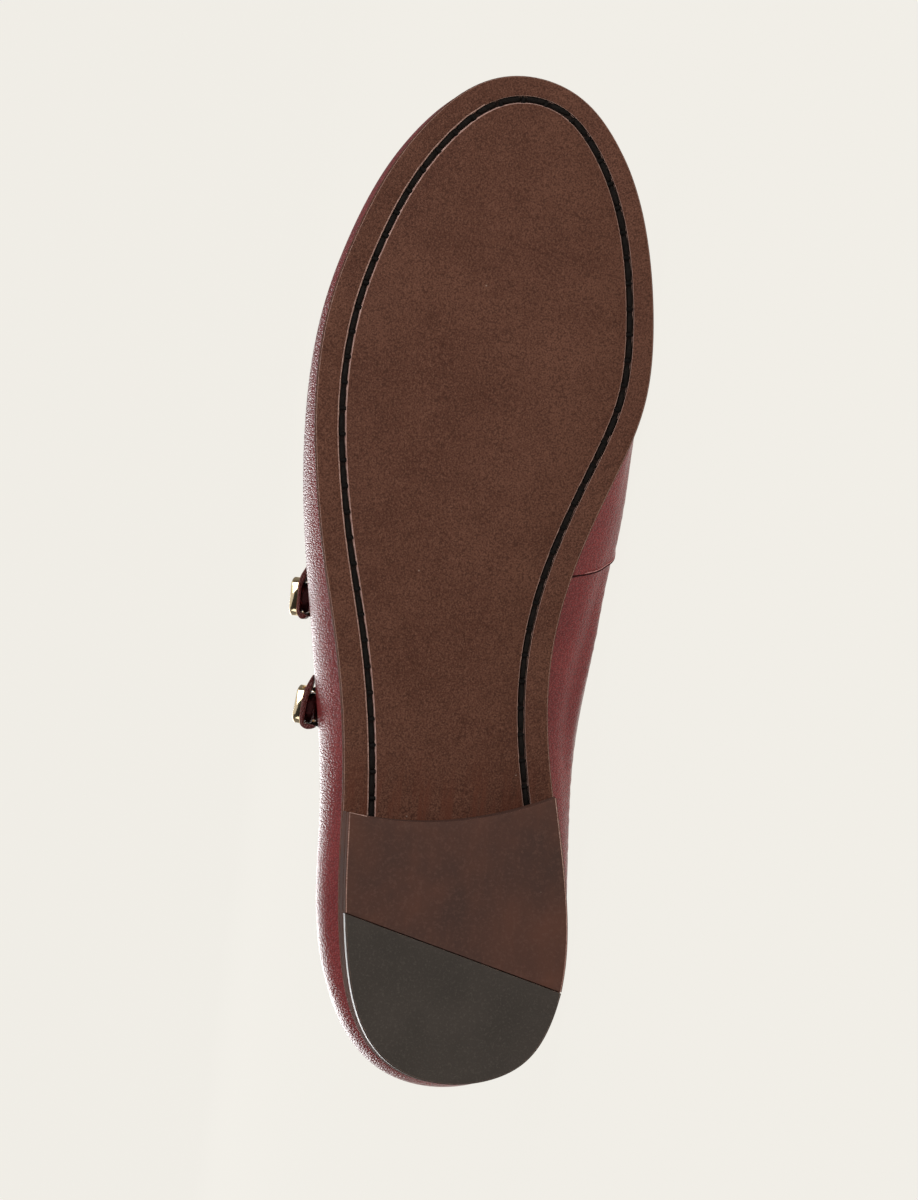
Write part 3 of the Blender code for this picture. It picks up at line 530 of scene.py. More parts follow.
def edge_loops(piece, degrees):
    """The closed loops of edges sharper than some degrees, shortest first.

    Each is an array of ordered points in the shoe's frame.
    """
    shape = shoe_shape(piece)
    angle = math.radians(degrees)
    sharp = [edge for edge in shape.edges if edge.is_manifold and edge.calc_face_angle() > angle]
    left = set(sharp)
    loops = []
    for first in sharp:
        if first not in left:
            continue
        start, here = first.verts
        run = [start, here]
        used = {first}
        while here is not start:
            ahead = here.co - run[-2].co
            ways = [edge for edge in here.link_edges if edge in left and edge not in used]
            if not ways:
                break
            # of the ways on, the straightest
            way = min(ways, key=lambda edge: ahead.angle(edge.other_vert(here).co - here.co))
            used.add(way)
            here = way.other_vert(here)
            run.append(here)
        if here is start:
            left -= used
            loops.append(np.array([vertex.co for vertex in run[:-1]]))
    shape.free()
    return sorted(loops, key=loop_length)


def loop_length(loop):
    """How long a closed loop of points is."""
    return float(np.linalg.norm(np.roll(loop, -1, axis=0) - loop, axis=1).sum())


def even_walk(points, pitch, closed):
    """Points spaced evenly along a line, about pitch apart, with the directions there."""
    line = np.vstack([points, points[:1]]) if closed else np.asarray(points)
    run = np.append(0, np.cumsum(np.linalg.norm(np.diff(line, axis=0), axis=1)))
    count = max(2, round(run[-1] / pitch))
    wanted = (np.arange(count) + 0.5) * run[-1] / count
    spots = np.column_stack([np.interp(wanted, run, axis) for axis in line.T])
    ahead = np.column_stack([np.interp(wanted + LOOK, run, axis) for axis in line.T])
    behind = np.column_stack([np.interp(wanted - LOOK, run, axis) for axis in line.T])
    return spots, ahead - behind


def skin_of(piece):
    """A piece's surface in the shoe's frame, to lay things on."""
    shape = shoe_shape(piece)
    skin = BVHTree.FromBMesh(shape)
    shape.free()
    return skin


def lay_line(name, path, radius, finish, slot):
    """A fine round line through points of the shoe's frame."""
    data = bpy.data.curves.new(name, "CURVE")
    data.dimensions = "3D"
    data.bevel_depth = radius
    data.bevel_resolution = LINE_ROUNDING
    line = data.splines.new("POLY")
    line.points.add(len(path) - 1)
    for point, spot in zip(line.points, path):
        point.co = (*spot, 1)
    take(new_object(name, data))
    bpy.ops.object.convert(target="MESH")
    piece = bpy.context.object
    piece.data.materials.append(FINISHES[finish])
    piece.data.shade_smooth()
    stand(piece)
    place(piece, slot)


def add_rod(radius, length, spot, turn):
    """A round rod along a turned Z axis, with its middle at a spot."""
    bpy.ops.mesh.primitive_cylinder_add(
        vertices=ROUND, radius=radius, depth=length, location=spot, rotation=turn
    )
    return bpy.context.object


def model_stitch(name, length, width, height, finish):
    """One stitch in the shoe's frame, lying along X with its ends turned down."""
    bpy.ops.object.select_all(action="DESELECT")
    bpy.ops.mesh.primitive_cylinder_add(
        vertices=STITCH_SIDES, radius=0.5, depth=1, rotation=(0, math.pi / 2, 0)
    )
    stitch = bpy.context.object
    stitch.name = name
    bpy.ops.object.transform_apply(location=False, rotation=True, scale=False)
    edit(stitch, "FACE")
    for cut in STITCH_CUTS:
        bpy.ops.mesh.select_all(action="SELECT")
        bpy.ops.mesh.bisect(plane_co=(cut, 0, 0), plane_no=(1, 0, 0))
    done()
    for vertex in stitch.data.vertices:
        x, y, z = vertex.co
        end = (2 * x) ** 4
        slim = 1 - STITCH_SLIM * end
        vertex.co = (x * length, y * width * slim, z * height * slim - height * STITCH_DIP * end)
    stitch.data.materials.append(FINISHES[finish])
    stitch.data.shade_smooth()
    return stitch


def sew(name, stitch, spots, runs, faces, slot):
    """Copies of one stitch, each at its spot, along its run and standing on its face, as one row."""
    copies = []
    for spot, run, face in zip(spots, runs, faces):
        along = Vector(run).normalized()
        up = Vector(face)
        up = (up - along * up.dot(along)).normalized()
        turn = Matrix((along, up.cross(along), up)).transposed()
        copy = new_object(name, stitch.data.copy())
        copy.matrix_world = Matrix.Translation(Vector(spot)) @ turn.to_4x4()
        copies.append(copy)
    take(*copies)
    bpy.ops.object.join()
    row = bpy.context.object
    row.name = name
    row.data.name = name
    stand(row)
    bpy.data.objects.remove(stitch)
    place(row, slot)


# ------------------------------------------------------------------ the sole and its stitches
SOLE_CREASE = 22  # degrees; the channel and the edges are sharper than this
SOLE_HIGHLIGHT = 0.15  # how wide the pale painted highlight along its edges is
SOLE_HIGHLIGHT_ANGLE = 30  # degrees
LIP_HIGHLIGHT = 0.16  # radius of the pale line along the lit lip of the channel, a painted highlight
ON_LOOP = 0.01  # a point nearer to a loop than this lies on it
STITCH_PITCH = 6.5
STITCH_WIDTH = 1.5
THREAD_HEIGHT = 1.0
THREAD_LIFT = 0.25  # off the channel's bottom
KNOT_LENGTH = 1.2
KNOT_WIDTH = 2.2  # a little more than the channel's, where the threads lock
KNOT_SHIFT = 0.4  # of the way to the channel's inner edge
BREAST_LINE = 60.0  # stitches behind this would lie under the heel
HEEL_CREASE = 30  # degrees
HEEL_SOFT = 50  # degrees; edges sharper than this stay sharp
# the width of the pale painted highlight on the heel's corners
HEEL_HIGHLIGHT = 0.12
HEEL_HIGHLIGHT_LINE = 0.13  # radius of the pale lines beside the top piece's tread, painted highlights
HEEL_MIDDLE = 45.0  # how far along the heel's middle lies
HEEL_SIDE = 22.0  # the lines lie further than this from the foot's middle
RUBBER_SIDE = math.radians(-80)  # the rubber lies this way from the heel's middle
TREAD_LEVEL = 0.05  # all that is lower than this is tread


def paint_between(piece, first, second, index):
    """Gives a material to the faces that span two loops."""
    points = in_shoe(piece)
    on_first, on_second = (
        [min(np.abs(loop - point).sum(axis=1)) < ON_LOOP for point in points] for loop in (first, second)
    )
    for face in piece.data.polygons:
        corners = [(on_first[corner], on_second[corner]) for corner in face.vertices]
        # each corner lies on one of the loops, and each loop has one of the corners
        if all(map(any, corners)) and all(map(any, zip(*corners))):
            face.material_index = index


def make_sole():
    """The dressed sole, with painted highlights along its edges and the channel's lit lip, and the two
    edges of its channel's bottom.
    """
    finishes = ("sole", "channel", "raw", "painted_edge_highlight")
    sole = copy_of("outsole", "sole", *finishes)
    lip, inner, outer, wall_top = edge_loops(sole, SOLE_CREASE)[:4]
    paint_between(sole, lip, inner, finishes.index("raw"))
    # the channel's bottom and outer wall take the near-black painted shade
    paint_between(sole, inner, outer, finishes.index("channel"))
    paint_between(sole, outer, wall_top, finishes.index("channel"))
    crease(sole, SOLE_CREASE)
    smooth(sole)
    # its edges are bevelled in a pale finish, a painted highlight where they catch light
    bevel_edges(sole, SOLE_HIGHLIGHT, SOLE_HIGHLIGHT_ANGLE, finishes.index("painted_edge_highlight"))
    # the pale line lies only on the half of the lip that faces the light: a painted highlight
    lit = (wall_top[:, 0] > FOOT_MIDDLE) & (wall_top[:, 1] > BREAST_LINE)
    start = int(np.argmax(lit & ~np.roll(lit, 1)))
    path = np.roll(wall_top, -start, axis=0)[np.roll(lit, -start)]
    lay_line("channel_lip_highlight", path, LIP_HIGHLIGHT, "painted_edge_highlight", "sole_leather")
    place(sole, "sole_leather", "outsole")
    return inner, outer


def nearest(points, spot):
    """The one of some points that is nearest to a spot."""
    return points[np.argmin(np.linalg.norm(points - spot, axis=1))]


def make_sole_stitches(inner, outer):
    """The lockstitches that lie in the channel, between its two bottom edges, and their knots."""
    middle = np.array([(point + nearest(outer, point)) / 2 for point in inner])
    spots, runs = even_walk(middle, STITCH_PITCH, True)
    seen = spots[:, 1] > BREAST_LINE
    spots[:, 2] -= THREAD_LIFT
    faces = np.tile((0, 0, -1), (len(spots), 1))
    stitch = model_stitch("sole_stitch", STITCH_PITCH, STITCH_WIDTH, THREAD_HEIGHT, "sole_thread")
    sew("sole_stitches", stitch, spots[seen], runs[seen], faces[seen], "sole_leather")
    knots = (spots + np.roll(spots, -1, axis=0)) / 2
    for knot in knots:
        knot += (nearest(inner, knot) - knot) * KNOT_SHIFT
    knots[:, 2] -= THREAD_LIFT
    seen = seen & np.roll(seen, -1)
    stitch = model_stitch("sole_knot", KNOT_LENGTH, KNOT_WIDTH, THREAD_HEIGHT, "knot")
    sew("sole_knots", stitch, knots[seen], runs[seen], faces[seen], "sole_leather")


def lay_heel_highlights(points):
    """Pale lines along both sides of the top piece's tread, up to the slant of the rubber: painted
    highlights on its corners.
    """
    tread = points[points[:, 2] < TREAD_LEVEL]
    turned = np.arctan2(tread[:, 1] - HEEL_MIDDLE, tread[:, 0] - FOOT_MIDDLE) - RUBBER_SIDE
    corner = tread[np.argsort(turned % math.tau)]
    for name, side in (("outer", 1), ("inner", -1)):
        path = corner[(corner[:, 0] - FOOT_MIDDLE) * side > HEEL_SIDE]
        lay_line(f"heel_edge_highlight-{name}", path, HEEL_HIGHLIGHT_LINE, "painted_edge_highlight", "stack_leather")


def make_heel():
    """The stack, its leather top piece and the rubber, with their corners rounded and painted pale as
    highlights.
    """
    for node, slot, finish in (
        ("heel_stack", "stack_leather", "stack"),
        ("top_piece", "stack_leather", "stack"),
        ("rubber_tip", "rubber", "rubber"),
    ):
        block = copy_of(node, node.replace("_", "-"), finish, "corner_highlight")
        if node == "top_piece":
            lay_heel_highlights(in_shoe(block))
        crease(block, HEEL_CREASE)
        smooth(block)
        # the corners' bevels take the pale finish, a painted highlight
        bevel_edges(block, HEEL_HIGHLIGHT, HEEL_CREASE, 1, segments=2)
        soften(block, HEEL_SOFT)
        place(block, slot, node)


# ------------------------------------------------------------------ the upper and what lines it
OUTSIDE, LINED, CUT = range(3)  # the upper's three finishes; CUT is dark edge paint, also painted shade where the vamp's step faces away from the light
FOOT_HEIGHT = 26.0  # the foot's middle line lies this high, between its back and its front
FOOT_BACK = 30.0
FOOT_FRONT = 212.0
INNER_SIDE = FOOT_MIDDLE - 12  # the inner quarter lies beyond this
SEAM_BACK = 120.0  # the vamp's edge crosses the inner quarter between these
SEAM_FRONT = 158.0
SEAM_FACING = -0.6  # it looks back at least this much
SEAM_TURN = math.radians(25)  # its corner is sharper than this
SEAM_HIGHLIGHT = (-0.03, 0.24, -0.08)  # from the vamp's corner to its pale line, a painted highlight
SEAM_SHADE = (0.04, -0.14, 0)  # and to the dark line of painted shadow at the foot of its cut edge
SEAM_HIGHLIGHT_LINE = 0.15  # the radii of those lines
SEAM_SHADE_LINE = 0.2
CREASES = (  # how far along, its length, height, slope, width and depth
    (108, 24, 15.6, -0.1, 1.5, -0.5),
    (106, 28, 12.3, -0.12, 1.9, 0.4),
    (106, 28, 19.2, -0.08, 1.8, 0.4),
    (158, 12, 11.0, 0.0, 1.5, -0.2),
)
WAVES = (  # the small waves' turns along and up the wall, start and share
    (1.9, 0.5, 0, 1),
    (1.23, -0.8, 1, 0.7),
)
WAVE_HEIGHT = 0.07
WAVE_BAND = (22, 9)  # the height of their band's middle, and its width
WAVE_STRETCH = (100, 60)  # the same along the wall
UPPER_CREASE = (30, 0.8)  # degrees, and how firmly the edge is held
SOCK_CREASE = (30, 0.6)
SOCK_FIT = 1.0  # how much the sock grows to close the gap at the wall
RIM_CREASE = 60  # degrees; only the rim is sharper than this
COLLAR_RIM = 2.6  # a little more than the wall's thickness
COLLAR_INSET = 2.6  # from the rim to its row of stitches
COLLAR_PITCH = 2.7
COLLAR_STITCH = (2.1, 0.5, 0.36)  # length, width and height
COLLAR_MIDDLE = Vector((FOOT_MIDDLE, 108, 80))  # a point in the middle of the opening
PAST_EDGE = 3.0  # how far past an edge its outer skin is looked for
OFF_SKIN = 2.0  # and how far off the skin a stitch's place is


def faces_in(centre, normal):
    """Whether a face of the upper looks in at the foot."""
    middle = Vector((FOOT_MIDDLE, min(max(centre.y, FOOT_BACK), FOOT_FRONT), FOOT_HEIGHT))
    return (centre - middle).dot(normal) < 0


def on_seam(centre, normal):
    """Whether a face is the vamp's cut edge, which stands over the inner quarter."""
    return normal.y < SEAM_FACING and centre.x < INNER_SIDE and SEAM_BACK < centre.y < SEAM_FRONT


def seam_line(upper):
    """The outer corner of the vamp's cut edge, from the sole up, in the shoe's frame."""
    shape = shoe_shape(upper)
    shape.normal_update()
    corners = set()
    for edge in shape.edges:
        sides = {face.material_index for face in edge.link_faces}
        near = SEAM_BACK < edge.verts[0].co.y < SEAM_FRONT and edge.verts[0].co.x < INNER_SIDE
        if near and sides == {OUTSIDE, CUT} and edge.is_convex and edge.calc_face_angle(0) > SEAM_TURN:
            corners.update(tuple(vertex.co) for vertex in edge.verts)
    shape.free()
    return [Vector(corner) for corner in sorted(corners, key=lambda corner: corner[2])]


def make_upper():
    """The dressed upper with its lining and the vamp's edge, painted dark as edge paint and shade with
    painted highlight and shadow lines along it, and the loop of its collar's rim.
    """
    upper = copy_of("upper", "upper_shell", "upper", "lining", "cut")
    topline = [loop for loop in edge_loops(upper, RIM_CREASE) if loop[:, 2].mean() > FOOT_HEIGHT][-1]
    points = in_shoe(upper)
    for face in upper.data.polygons:
        centre = SHOE_BACK @ face.center
        normal = BACK_TURN @ face.normal
        reach = max(min(np.linalg.norm(topline - points[corner], axis=1)) for corner in face.vertices)
        # the vamp's step faces the heel, away from the light: dark edge paint and painted shade
        if on_seam(centre, normal):
            face.material_index = CUT
        elif reach > COLLAR_RIM and faces_in(centre, normal):
            face.material_index = LINED
        else:
            face.material_index = OUTSIDE
    crease(upper, *UPPER_CREASE)
    smooth(upper)
    wrinkle(upper)
    seam = seam_line(upper)
    # a pale line along the vamp's corner is a painted highlight, and a dark line at its foot a painted
    # shadow
    for name, shift, radius, finish in (
        ("seam_highlight", SEAM_HIGHLIGHT, SEAM_HIGHLIGHT_LINE, "rubbed_and_highlight"),
        ("seam_shade", SEAM_SHADE, SEAM_SHADE_LINE, "cut"),
    ):
        lay_line(name, [spot + Vector(shift) for spot in seam], radius, finish, "upper_leather")
    place(upper, "upper_leather", "upper")
    return upper, topline


def bell(values, middle, width):
    """1 at a middle, falling softly to 0 on both sides of it."""
    return np.exp(-(((values - middle) / width) ** 2))


def wrinkle(upper):
    """Soft troughs and ridges along the inner quarter, and its slightly wavy swell."""
    points = in_shoe(upper)
    y, z = points[:, 1], points[:, 2]
    move = np.zeros(len(points))
    for along, length, height, slope, width, depth in CREASES:
        move += depth * bell(y, along, length) * bell(z, height + slope * (y - along), width)
    waves = sum(share * np.sin(y * ahead + z * up + start) for ahead, up, start, share in WAVES)
    move += WAVE_HEIGHT * waves * bell(z, *WAVE_BAND) * bell(y, *WAVE_STRETCH)
    move *= points[:, 0] < INNER_SIDE
    push(upper, move)


def beside_edge(skin, edge, ahead):
    """A place on the outer skin, just below a point of the collar's edge, and its normal."""
    away = (edge - COLLAR_MIDDLE).normalized()
    _, normal, _, _ = skin.find_nearest(edge + away * PAST_EDGE)
    aside = ahead.cross(normal).normalized()
    if aside.dot(away) < 0:
        aside.negate()
    spot, normal, _, _ = skin.find_nearest(edge + aside * COLLAR_INSET + normal * OFF_SKIN)
    return spot, normal


def make_topline_stitches(upper, topline):
    """A row of small stitches that holds the lining, just below the collar's folded edge."""
    skin = skin_of(upper)
    edges, runs = even_walk(topline, COLLAR_PITCH, True)
    laid = [beside_edge(skin, Vector(edge), Vector(run)) for edge, run in zip(edges, runs)]
    spots, faces = zip(*laid)
    stitch = model_stitch("collar_stitch", *COLLAR_STITCH, "upper_thread")
    sew("collar_stitches", stitch, spots, runs, faces, "upper_leather")


def make_insole():
    """The leather sock that covers the insole."""
    sock = copy_of("insole", "sock", "lining")
    fatten(sock, SOCK_FIT)
    crease(sock, *SOCK_CREASE)
    smooth(sock)
    place(sock, "lining_leather", "insole")


# ------------------------------------------------------------------ straps
STRAPS = ("front", "rear")
STRAP_PIVOT = Vector((FOOT_MIDDLE, 0, 28))  # angles round the foot are taken from here
STRAP_FILL = 0.12  # how much it grows to fill its keeper
STRAP_CREASE = (32, 0.55)  # degrees, and how firmly the edge is held
STRAP_PITCH = 2.2
STRAP_STITCH = (STRAP_PITCH * 0.78, 0.42, 0.3)  # length, width and height
STRAP_EDGE = 2.55  # from its middle to its rows of stitches
STRAP_ROWS = np.linspace(48, 152, 90)  # degrees round the foot, from its outer side, where they pass
CUT_HALF = 2.5  # degrees of strap on each side that a cut takes in
ABOVE = 6.0  # how high over the strap a stitch's place is aimed from
HOLES = (15, 39, 47)  # degrees round the foot
HOLE_RADIUS = 0.75
DRILL_LENGTH = 8.0
TIP_TOP = 40.0  # below this the strap's tip fills its keeper
TIP_SWELL = 0.4  # how much it grows there
TIP_BLEND = 4.0  # how far down the swelling takes to reach its full height
CUT_FACING = -0.5  # the tip's cut end looks down at least this much
SOFT_ANGLE = 40  # degrees; edges sharper than this stay sharp on straps and buckles
TRIM_CREASE = (40, 0.9)
TRIM_RUB = 0.22  # how wide the keepers' cut edges are rubbed pale
TRIM_RUB_ANGLE = 45  # degrees
# the tab grows this much so that its painted shade fills the gap behind the keeper
TAB_PADDING = 0.9


def strap_cut(points, degrees):
    """A strap's middle, outward normal and width where it passes an angle round the foot."""
    turned = np.degrees(np.arctan2(points[:, 2] - STRAP_PIVOT.z, points[:, 0] - STRAP_PIVOT.x))
    near = points[np.abs(turned - degrees) < CUT_HALF]
    axes = np.linalg.svd(near - near.mean(axis=0), full_matrices=False)[2]
    spans = near @ axes.T
    middle = Vector((spans.min(axis=0) + spans.max(axis=0)) / 2 @ axes)
    width, _, normal = map(Vector, axes)
    if normal.dot(middle - STRAP_PIVOT - Vector((0, middle.y, 0))) < 0:
        normal.negate()
    if width.y < 0:
        width.negate()
    return middle, normal, width


def punch(strap, points):
    """Drills round holes through the strap."""
    drills = []
    for degrees in HOLES:
        spot, normal, _ = strap_cut(points, degrees)
        turn = normal.to_track_quat("Z", "Y").to_euler()
        drills.append(add_rod(HOLE_RADIUS, DRILL_LENGTH, spot, turn))
    take(*drills)
    bpy.ops.object.join()
    bpy.ops.object.transform_apply(location=True, rotation=True, scale=True)
    drill = bpy.context.object
    drill.data.materials.append(FINISHES["cut"])
    stand(drill)
    apply(strap, "BOOLEAN", object=drill, operation="DIFFERENCE", solver="EXACT", material_mode="TRANSFER")
    bpy.data.objects.remove(drill)
    soften(strap, SOFT_ANGLE)


def stitch_strap(side, skin, cuts):
    """The two rows of small stitches along a strap's edges."""
    spots, runs, faces = [], [], []
    for edge in (-STRAP_EDGE, STRAP_EDGE):
        path = []
        for middle, normal, width in cuts:
            spot = skin.ray_cast(middle + width * edge + normal * ABOVE, -normal)[0]
            if spot:
                path.append(spot)
        for spot, ahead in zip(*even_walk(path, STRAP_PITCH, False)):
            near, normal, _, _ = skin.find_nearest(Vector(spot))
            spots.append(near)
            runs.append(ahead)
            faces.append(normal)
    stitch = model_stitch("strap_stitch", *STRAP_STITCH, "upper_thread")
    sew(f"strap_stitches-{side}", stitch, spots, runs, faces, "upper_leather")


def make_strap(side):
    """A strap with its holes, its cut end painted dark as edge paint and shade, and its stitches."""
    strap = copy_of(f"strap_{side}", f"strap-{side}", "strap", "cut")
    fatten(strap, STRAP_FILL)
    crease(strap, *STRAP_CREASE)
    smooth(strap)
    points = in_shoe(strap)
    tip = np.clip((TIP_TOP - points[:, 2]) / TIP_BLEND, 0, 1) * (points[:, 0] > FOOT_MIDDLE)
    push(strap, tip * TIP_SWELL)
    # the strap's cut tip inside the keeper is painted dark: edge paint and painted shade
    for face in strap.data.polygons:
        if tip[face.vertices[0]] == 1 and face.normal.dot(UP) < CUT_FACING:
            face.material_index = 1
    skin = skin_of(strap)
    cuts = [strap_cut(points, degrees) for degrees in STRAP_ROWS]
    punch(strap, points)
    stitch_strap(side, skin, cuts)
    place(strap, "upper_leather", f"strap_{side}")


def make_trim(side):
    """The tab that holds a buckle, grown and painted near black as shade, the keeper and the pin."""
    for node, finishes, slot, padding in (
        (f"tab_{side}", ["tab"], "upper_leather", TAB_PADDING),
        (f"keeper_{side}", ["trim", "rubbed_and_highlight"], "upper_leather", 0.0),
        (f"pin_{side}", ["gold"], "gold", 0.0),
    ):
        piece = copy_of(node, node.replace("_", "-"), *finishes)
        fatten(piece, padding)
        crease(piece, *TRIM_CREASE)
        smooth(piece)
        if "rubbed_and_highlight" in finishes:
            bevel_edges(piece, TRIM_RUB, TRIM_RUB_ANGLE, 1)
        place(piece, slot, node)


# ------------------------------------------------------------------ buckles
FRAME_THICKNESS = 2.3
FRAME_RAIL = 1.2  # how wide its rails are
FRAME_CORNER = 2.2  # radius of its corners
CORNER_STEPS = 7
FRAME_ROUNDING = 0.45
ROUNDING_STEPS = 4
ROUNDING_ANGLE = math.radians(40)  # edges sharper than this are rounded
FRAME_BOW = 0.35  # how far its long rails swell
BAR_RADIUS = 0.55
BALL_RINGS = 10
LOOKS_ALONG = 0.7  # a face looks along an axis when its normal follows it at least this much


def pick(piece, kind, test):
    """Opens a piece in edit mode with the faces or edges that pass a test selected."""
    edit(piece, kind)
    done()
    for part in piece.data.polygons if kind == "FACE" else piece.data.edges:
        part.select = test(part)
    bpy.ops.object.mode_set(mode="EDIT")


def widest_normal(node, axis):
    """The normal, in the shoe's frame, that most of the node's faces along an axis share."""
    areas = {}
    for face in node.data.polygons:
        if face.normal.dot(axis) > LOOKS_ALONG:
            key = tuple(round(part, 2) for part in BACK_TURN @ face.normal)
            areas[key] = areas.get(key, 0) + face.area
    return Vector(max(areas, key=areas.get)).normalized()


def buckle_stand(node):
    """The matrix from a buckle's own axes, along, up and out, to the shoe's frame, and its sizes."""
    along = widest_normal(node, TOE)
    up = widest_normal(node, UP)
    axes = Matrix((along, up, along.cross(up)))
    points = in_shoe(node) @ np.array(axes).T
    low = points.min(axis=0)
    high = points.max(axis=0)
    turn_back = axes.transposed()
    middle = turn_back @ Vector((low + high) / 2)
    return Matrix.Translation(middle) @ turn_back.to_4x4(), high - low


def model_rim(size, front):
    """A buckle's frame: a plate with round corners, its middle cut out and its long rails bowed."""
    bpy.ops.object.select_all(action="DESELECT")
    plate = (size[0], size[1], FRAME_THICKNESS)
    bpy.ops.mesh.primitive_cube_add(size=1, location=(0, 0, front), scale=plate)
    rim = bpy.context.object
    bpy.ops.object.transform_apply(location=True, rotation=True, scale=True)

    def stands(edge):
        start, end = (rim.data.vertices[corner].co for corner in edge.vertices)
        return abs(start.z - end.z) > FRAME_THICKNESS / 2

    pick(rim, "EDGE", stands)
    bpy.ops.mesh.bevel(offset=FRAME_CORNER, segments=CORNER_STEPS, affect="EDGES")
    done()
    pick(rim, "FACE", lambda face: abs(face.normal.z) > LOOKS_ALONG)
    bpy.ops.mesh.inset(thickness=FRAME_RAIL)
    bpy.ops.mesh.bridge_edge_loops()
    done()
    for vertex in rim.data.vertices:
        vertex.co.y *= 1 + FRAME_BOW * (1 - (2 * vertex.co.x / size[0]) ** 2) / (size[1] / 2)
    apply(rim, "BEVEL", width=FRAME_ROUNDING, segments=ROUNDING_STEPS, angle_limit=ROUNDING_ANGLE)
    return rim


def model_bar(reach, back, front):
    """The rods of a bar and its two legs, with balls where they meet."""
    ends = (-reach, reach)
    rods = [add_rod(BAR_RADIUS, 2 * reach, (0, 0, back), (0, math.pi / 2, 0))]
    rods += [add_rod(BAR_RADIUS, front - back, (end, 0, (back + front) / 2), (0, 0, 0)) for end in ends]
    for end in ends:
        bpy.ops.mesh.primitive_uv_sphere_add(
            segments=ROUND, ring_count=BALL_RINGS, radius=BAR_RADIUS, location=(end, 0, back)
        )
        rods.append(bpy.context.object)
    return rods


def make_frame(side):
    """A cast frame with round corners and edges, and a bar set back on two legs, painted dark as shade."""
    axes, size = buckle_stand(nodes[f"buckle_{side}"])
    front = size[2] / 2 - FRAME_THICKNESS / 2
    rim = model_rim(size, front)
    rods = model_bar(size[0] / 2 - FRAME_RAIL / 2, BAR_RADIUS - size[2] / 2, front)
    rim.data.materials.append(FINISHES["gold"])
    # the bar and its legs are painted dark as shade; the frame stays gold
    for rod in rods:
        rod.data.materials.append(FINISHES["bar"])
    take(rim, *rods)
    bpy.ops.object.join()
    bpy.ops.object.transform_apply(location=True, rotation=True, scale=True)
    rim.name = f"frame-{side}"
    rim.data.name = rim.name
    rim.matrix_world = axes
    stand(rim)
    soften(rim, SOFT_ANGLE)
    place(rim, "gold", f"buckle_{side}")


# ------------------------------------------------------------------ camera, floor and light
VIEW_TURN = math.radians(7.0)  # the camera stands this far round to the shoe's outer side
VIEW_ROLL = math.radians(3.51)
VIEW_AIM = Vector((6.8, 121.4, 0))  # the spot it looks at
VIEW_FAR = 1500.0  # and how far off it stands
LENS = 180.7
SENSOR = 36.0
CLIP_END = 100.0  # metres
SOFTBOXES = (  # name, direction, distance and size in metres, and power
    ("rim", (0.29, -0.24, 0.925), 1.3, 0.6, 6.5),
    ("above", (1.0, 0.1, 0.05), 1.6, 2.4, 10),
    ("front", (0.55, 0.48, -0.68), 1.6, 1.2, 18),
    ("kick", (0.4, -0.8, -0.4), 1.5, 0.8, 3),
)
SKY_COLOUR = (1.0, 0.985, 0.96, 1)
SKY_SPAN = (-0.7, 0.3)  # how far up the shoe a way points where the sky starts and stops growing lighter
SKY_LEVELS = (0.03, 0.22)
FLOOR_SIZE = 120.0  # metres
PAPER = {
    "Base Color": (0.01, 0.01, 0.0095, 1),
    "Roughness": 1.0,
    "Specular IOR Level": 0.0,
    "Emission Color": (0.879, 0.855, 0.799, 1),
    "Emission Strength": 0.99,
}


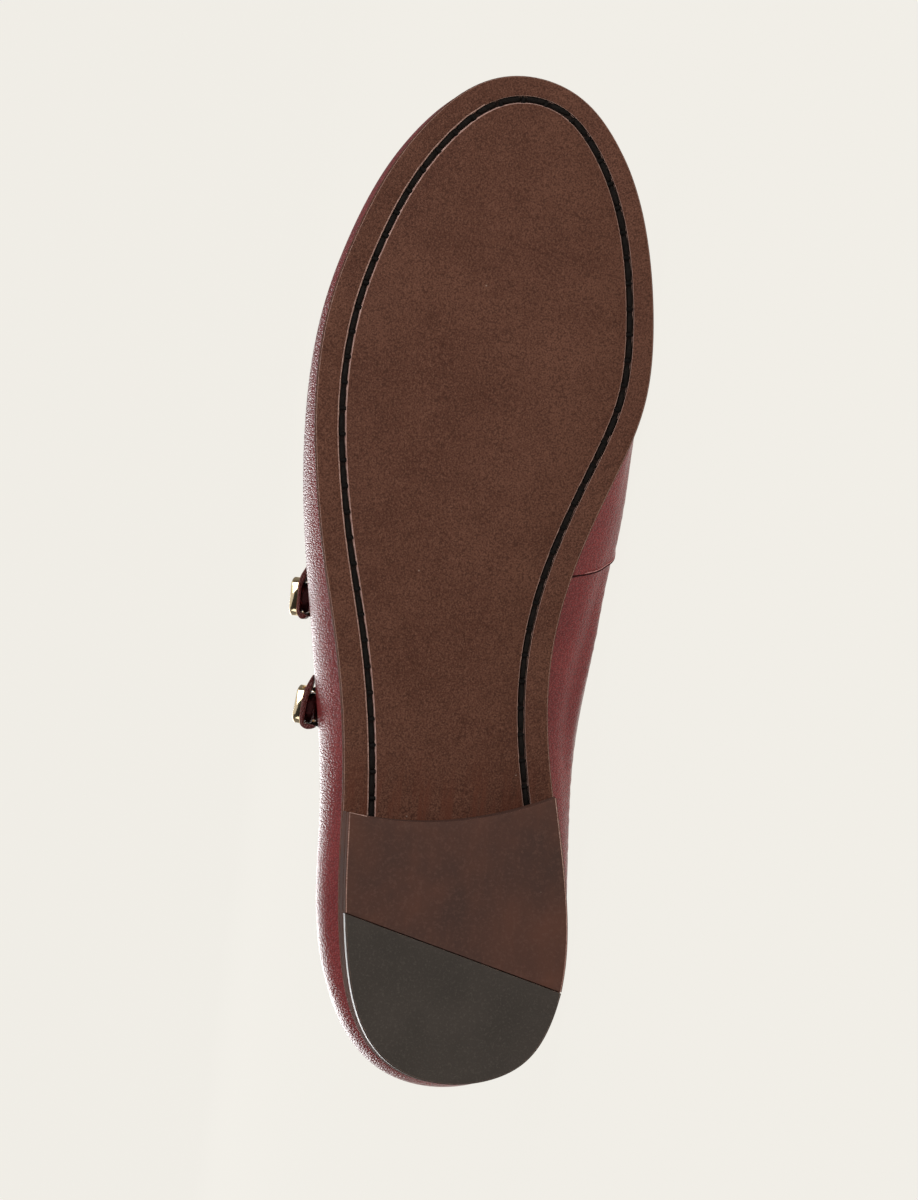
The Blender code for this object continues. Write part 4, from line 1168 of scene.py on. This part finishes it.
def add_camera():
    """Looks at the tread from below, a little round to the outer side and rolled."""
    ahead = Vector((-math.sin(VIEW_TURN), 0, math.cos(VIEW_TURN)))
    across = Vector((math.cos(VIEW_TURN), 0, math.sin(VIEW_TURN)))
    toe = Vector((0, 1, 0))
    up = toe * math.cos(VIEW_ROLL) + across * math.sin(VIEW_ROLL)
    right = toe * math.sin(VIEW_ROLL) - across * math.cos(VIEW_ROLL)
    turn = SHOE_TURN @ Matrix((right, up, -ahead)).transposed()
    data = bpy.data.cameras.new("camera")
    data.sensor_fit = "VERTICAL"
    data.sensor_height = SENSOR
    data.lens = LENS
    data.clip_end = CLIP_END
    camera = new_object("camera", data)
    camera.matrix_world = Matrix.Translation(SHOE @ (VIEW_AIM - ahead * VIEW_FAR)) @ turn.to_4x4()
    bpy.context.scene.camera = camera


def add_softbox(name, direction, distance, size, power):
    """A square area light, aimed at the middle of the shoe from a direction in the shoe's frame."""
    data = bpy.data.lights.new(name, "AREA")
    data.shape = "SQUARE"
    data.size = size
    data.energy = power
    light = new_object(name, data)
    away = SHOE_TURN @ Vector(direction).normalized()
    turn = away.to_track_quat("Z", "Y").to_matrix().to_4x4()
    light.matrix_world = Matrix.Translation(SHOE @ VIEW_AIM + away * distance) @ turn


def add_sky():
    """A studio that is dark on the side the tread faces and lighter behind the shoe."""
    world = bpy.data.worlds.new("studio")
    world.use_nodes = True
    tree = world.node_tree
    sky = tree.nodes["Background"]
    here = tree.nodes.new("ShaderNodeTexCoord")
    depth = tree.nodes.new("ShaderNodeVectorMath")
    depth.operation = "DOT_PRODUCT"
    depth.inputs[1].default_value = UP
    level = tree.nodes.new("ShaderNodeMapRange")
    for socket, value in zip(("From Min", "From Max", "To Min", "To Max"), SKY_SPAN + SKY_LEVELS):
        level.inputs[socket].default_value = value
    tree.links.new(here.outputs["Generated"], depth.inputs[0])
    tree.links.new(depth.outputs["Value"], level.inputs["Value"])
    tree.links.new(level.outputs["Result"], sky.inputs["Strength"])
    sky.inputs["Color"].default_value = SKY_COLOUR
    bpy.context.scene.world = world


def add_floor():
    """A wide sheet of pale paper that glows evenly, so that it shows no edge."""
    bpy.ops.object.select_all(action="DESELECT")
    bpy.ops.mesh.primitive_plane_add(size=FLOOR_SIZE)
    floor = bpy.context.object
    floor.name = "floor"
    floor.data.materials.append(Finish("floor_paper", PAPER).material)


# ------------------------------------------------------------------ put together
def main():
    """Dresses the shoe from the tread up, then sets up the camera and the studio."""
    bpy.context.scene.view_settings.view_transform = "Standard"
    make_sole_stitches(*make_sole())
    make_heel()
    make_topline_stitches(*make_upper())
    make_insole()
    for side in STRAPS:
        make_strap(side)
        make_trim(side)
        make_frame(side)
    add_camera()
    add_sky()
    add_floor()
    for softbox in SOFTBOXES:
        add_softbox(*softbox)


main()
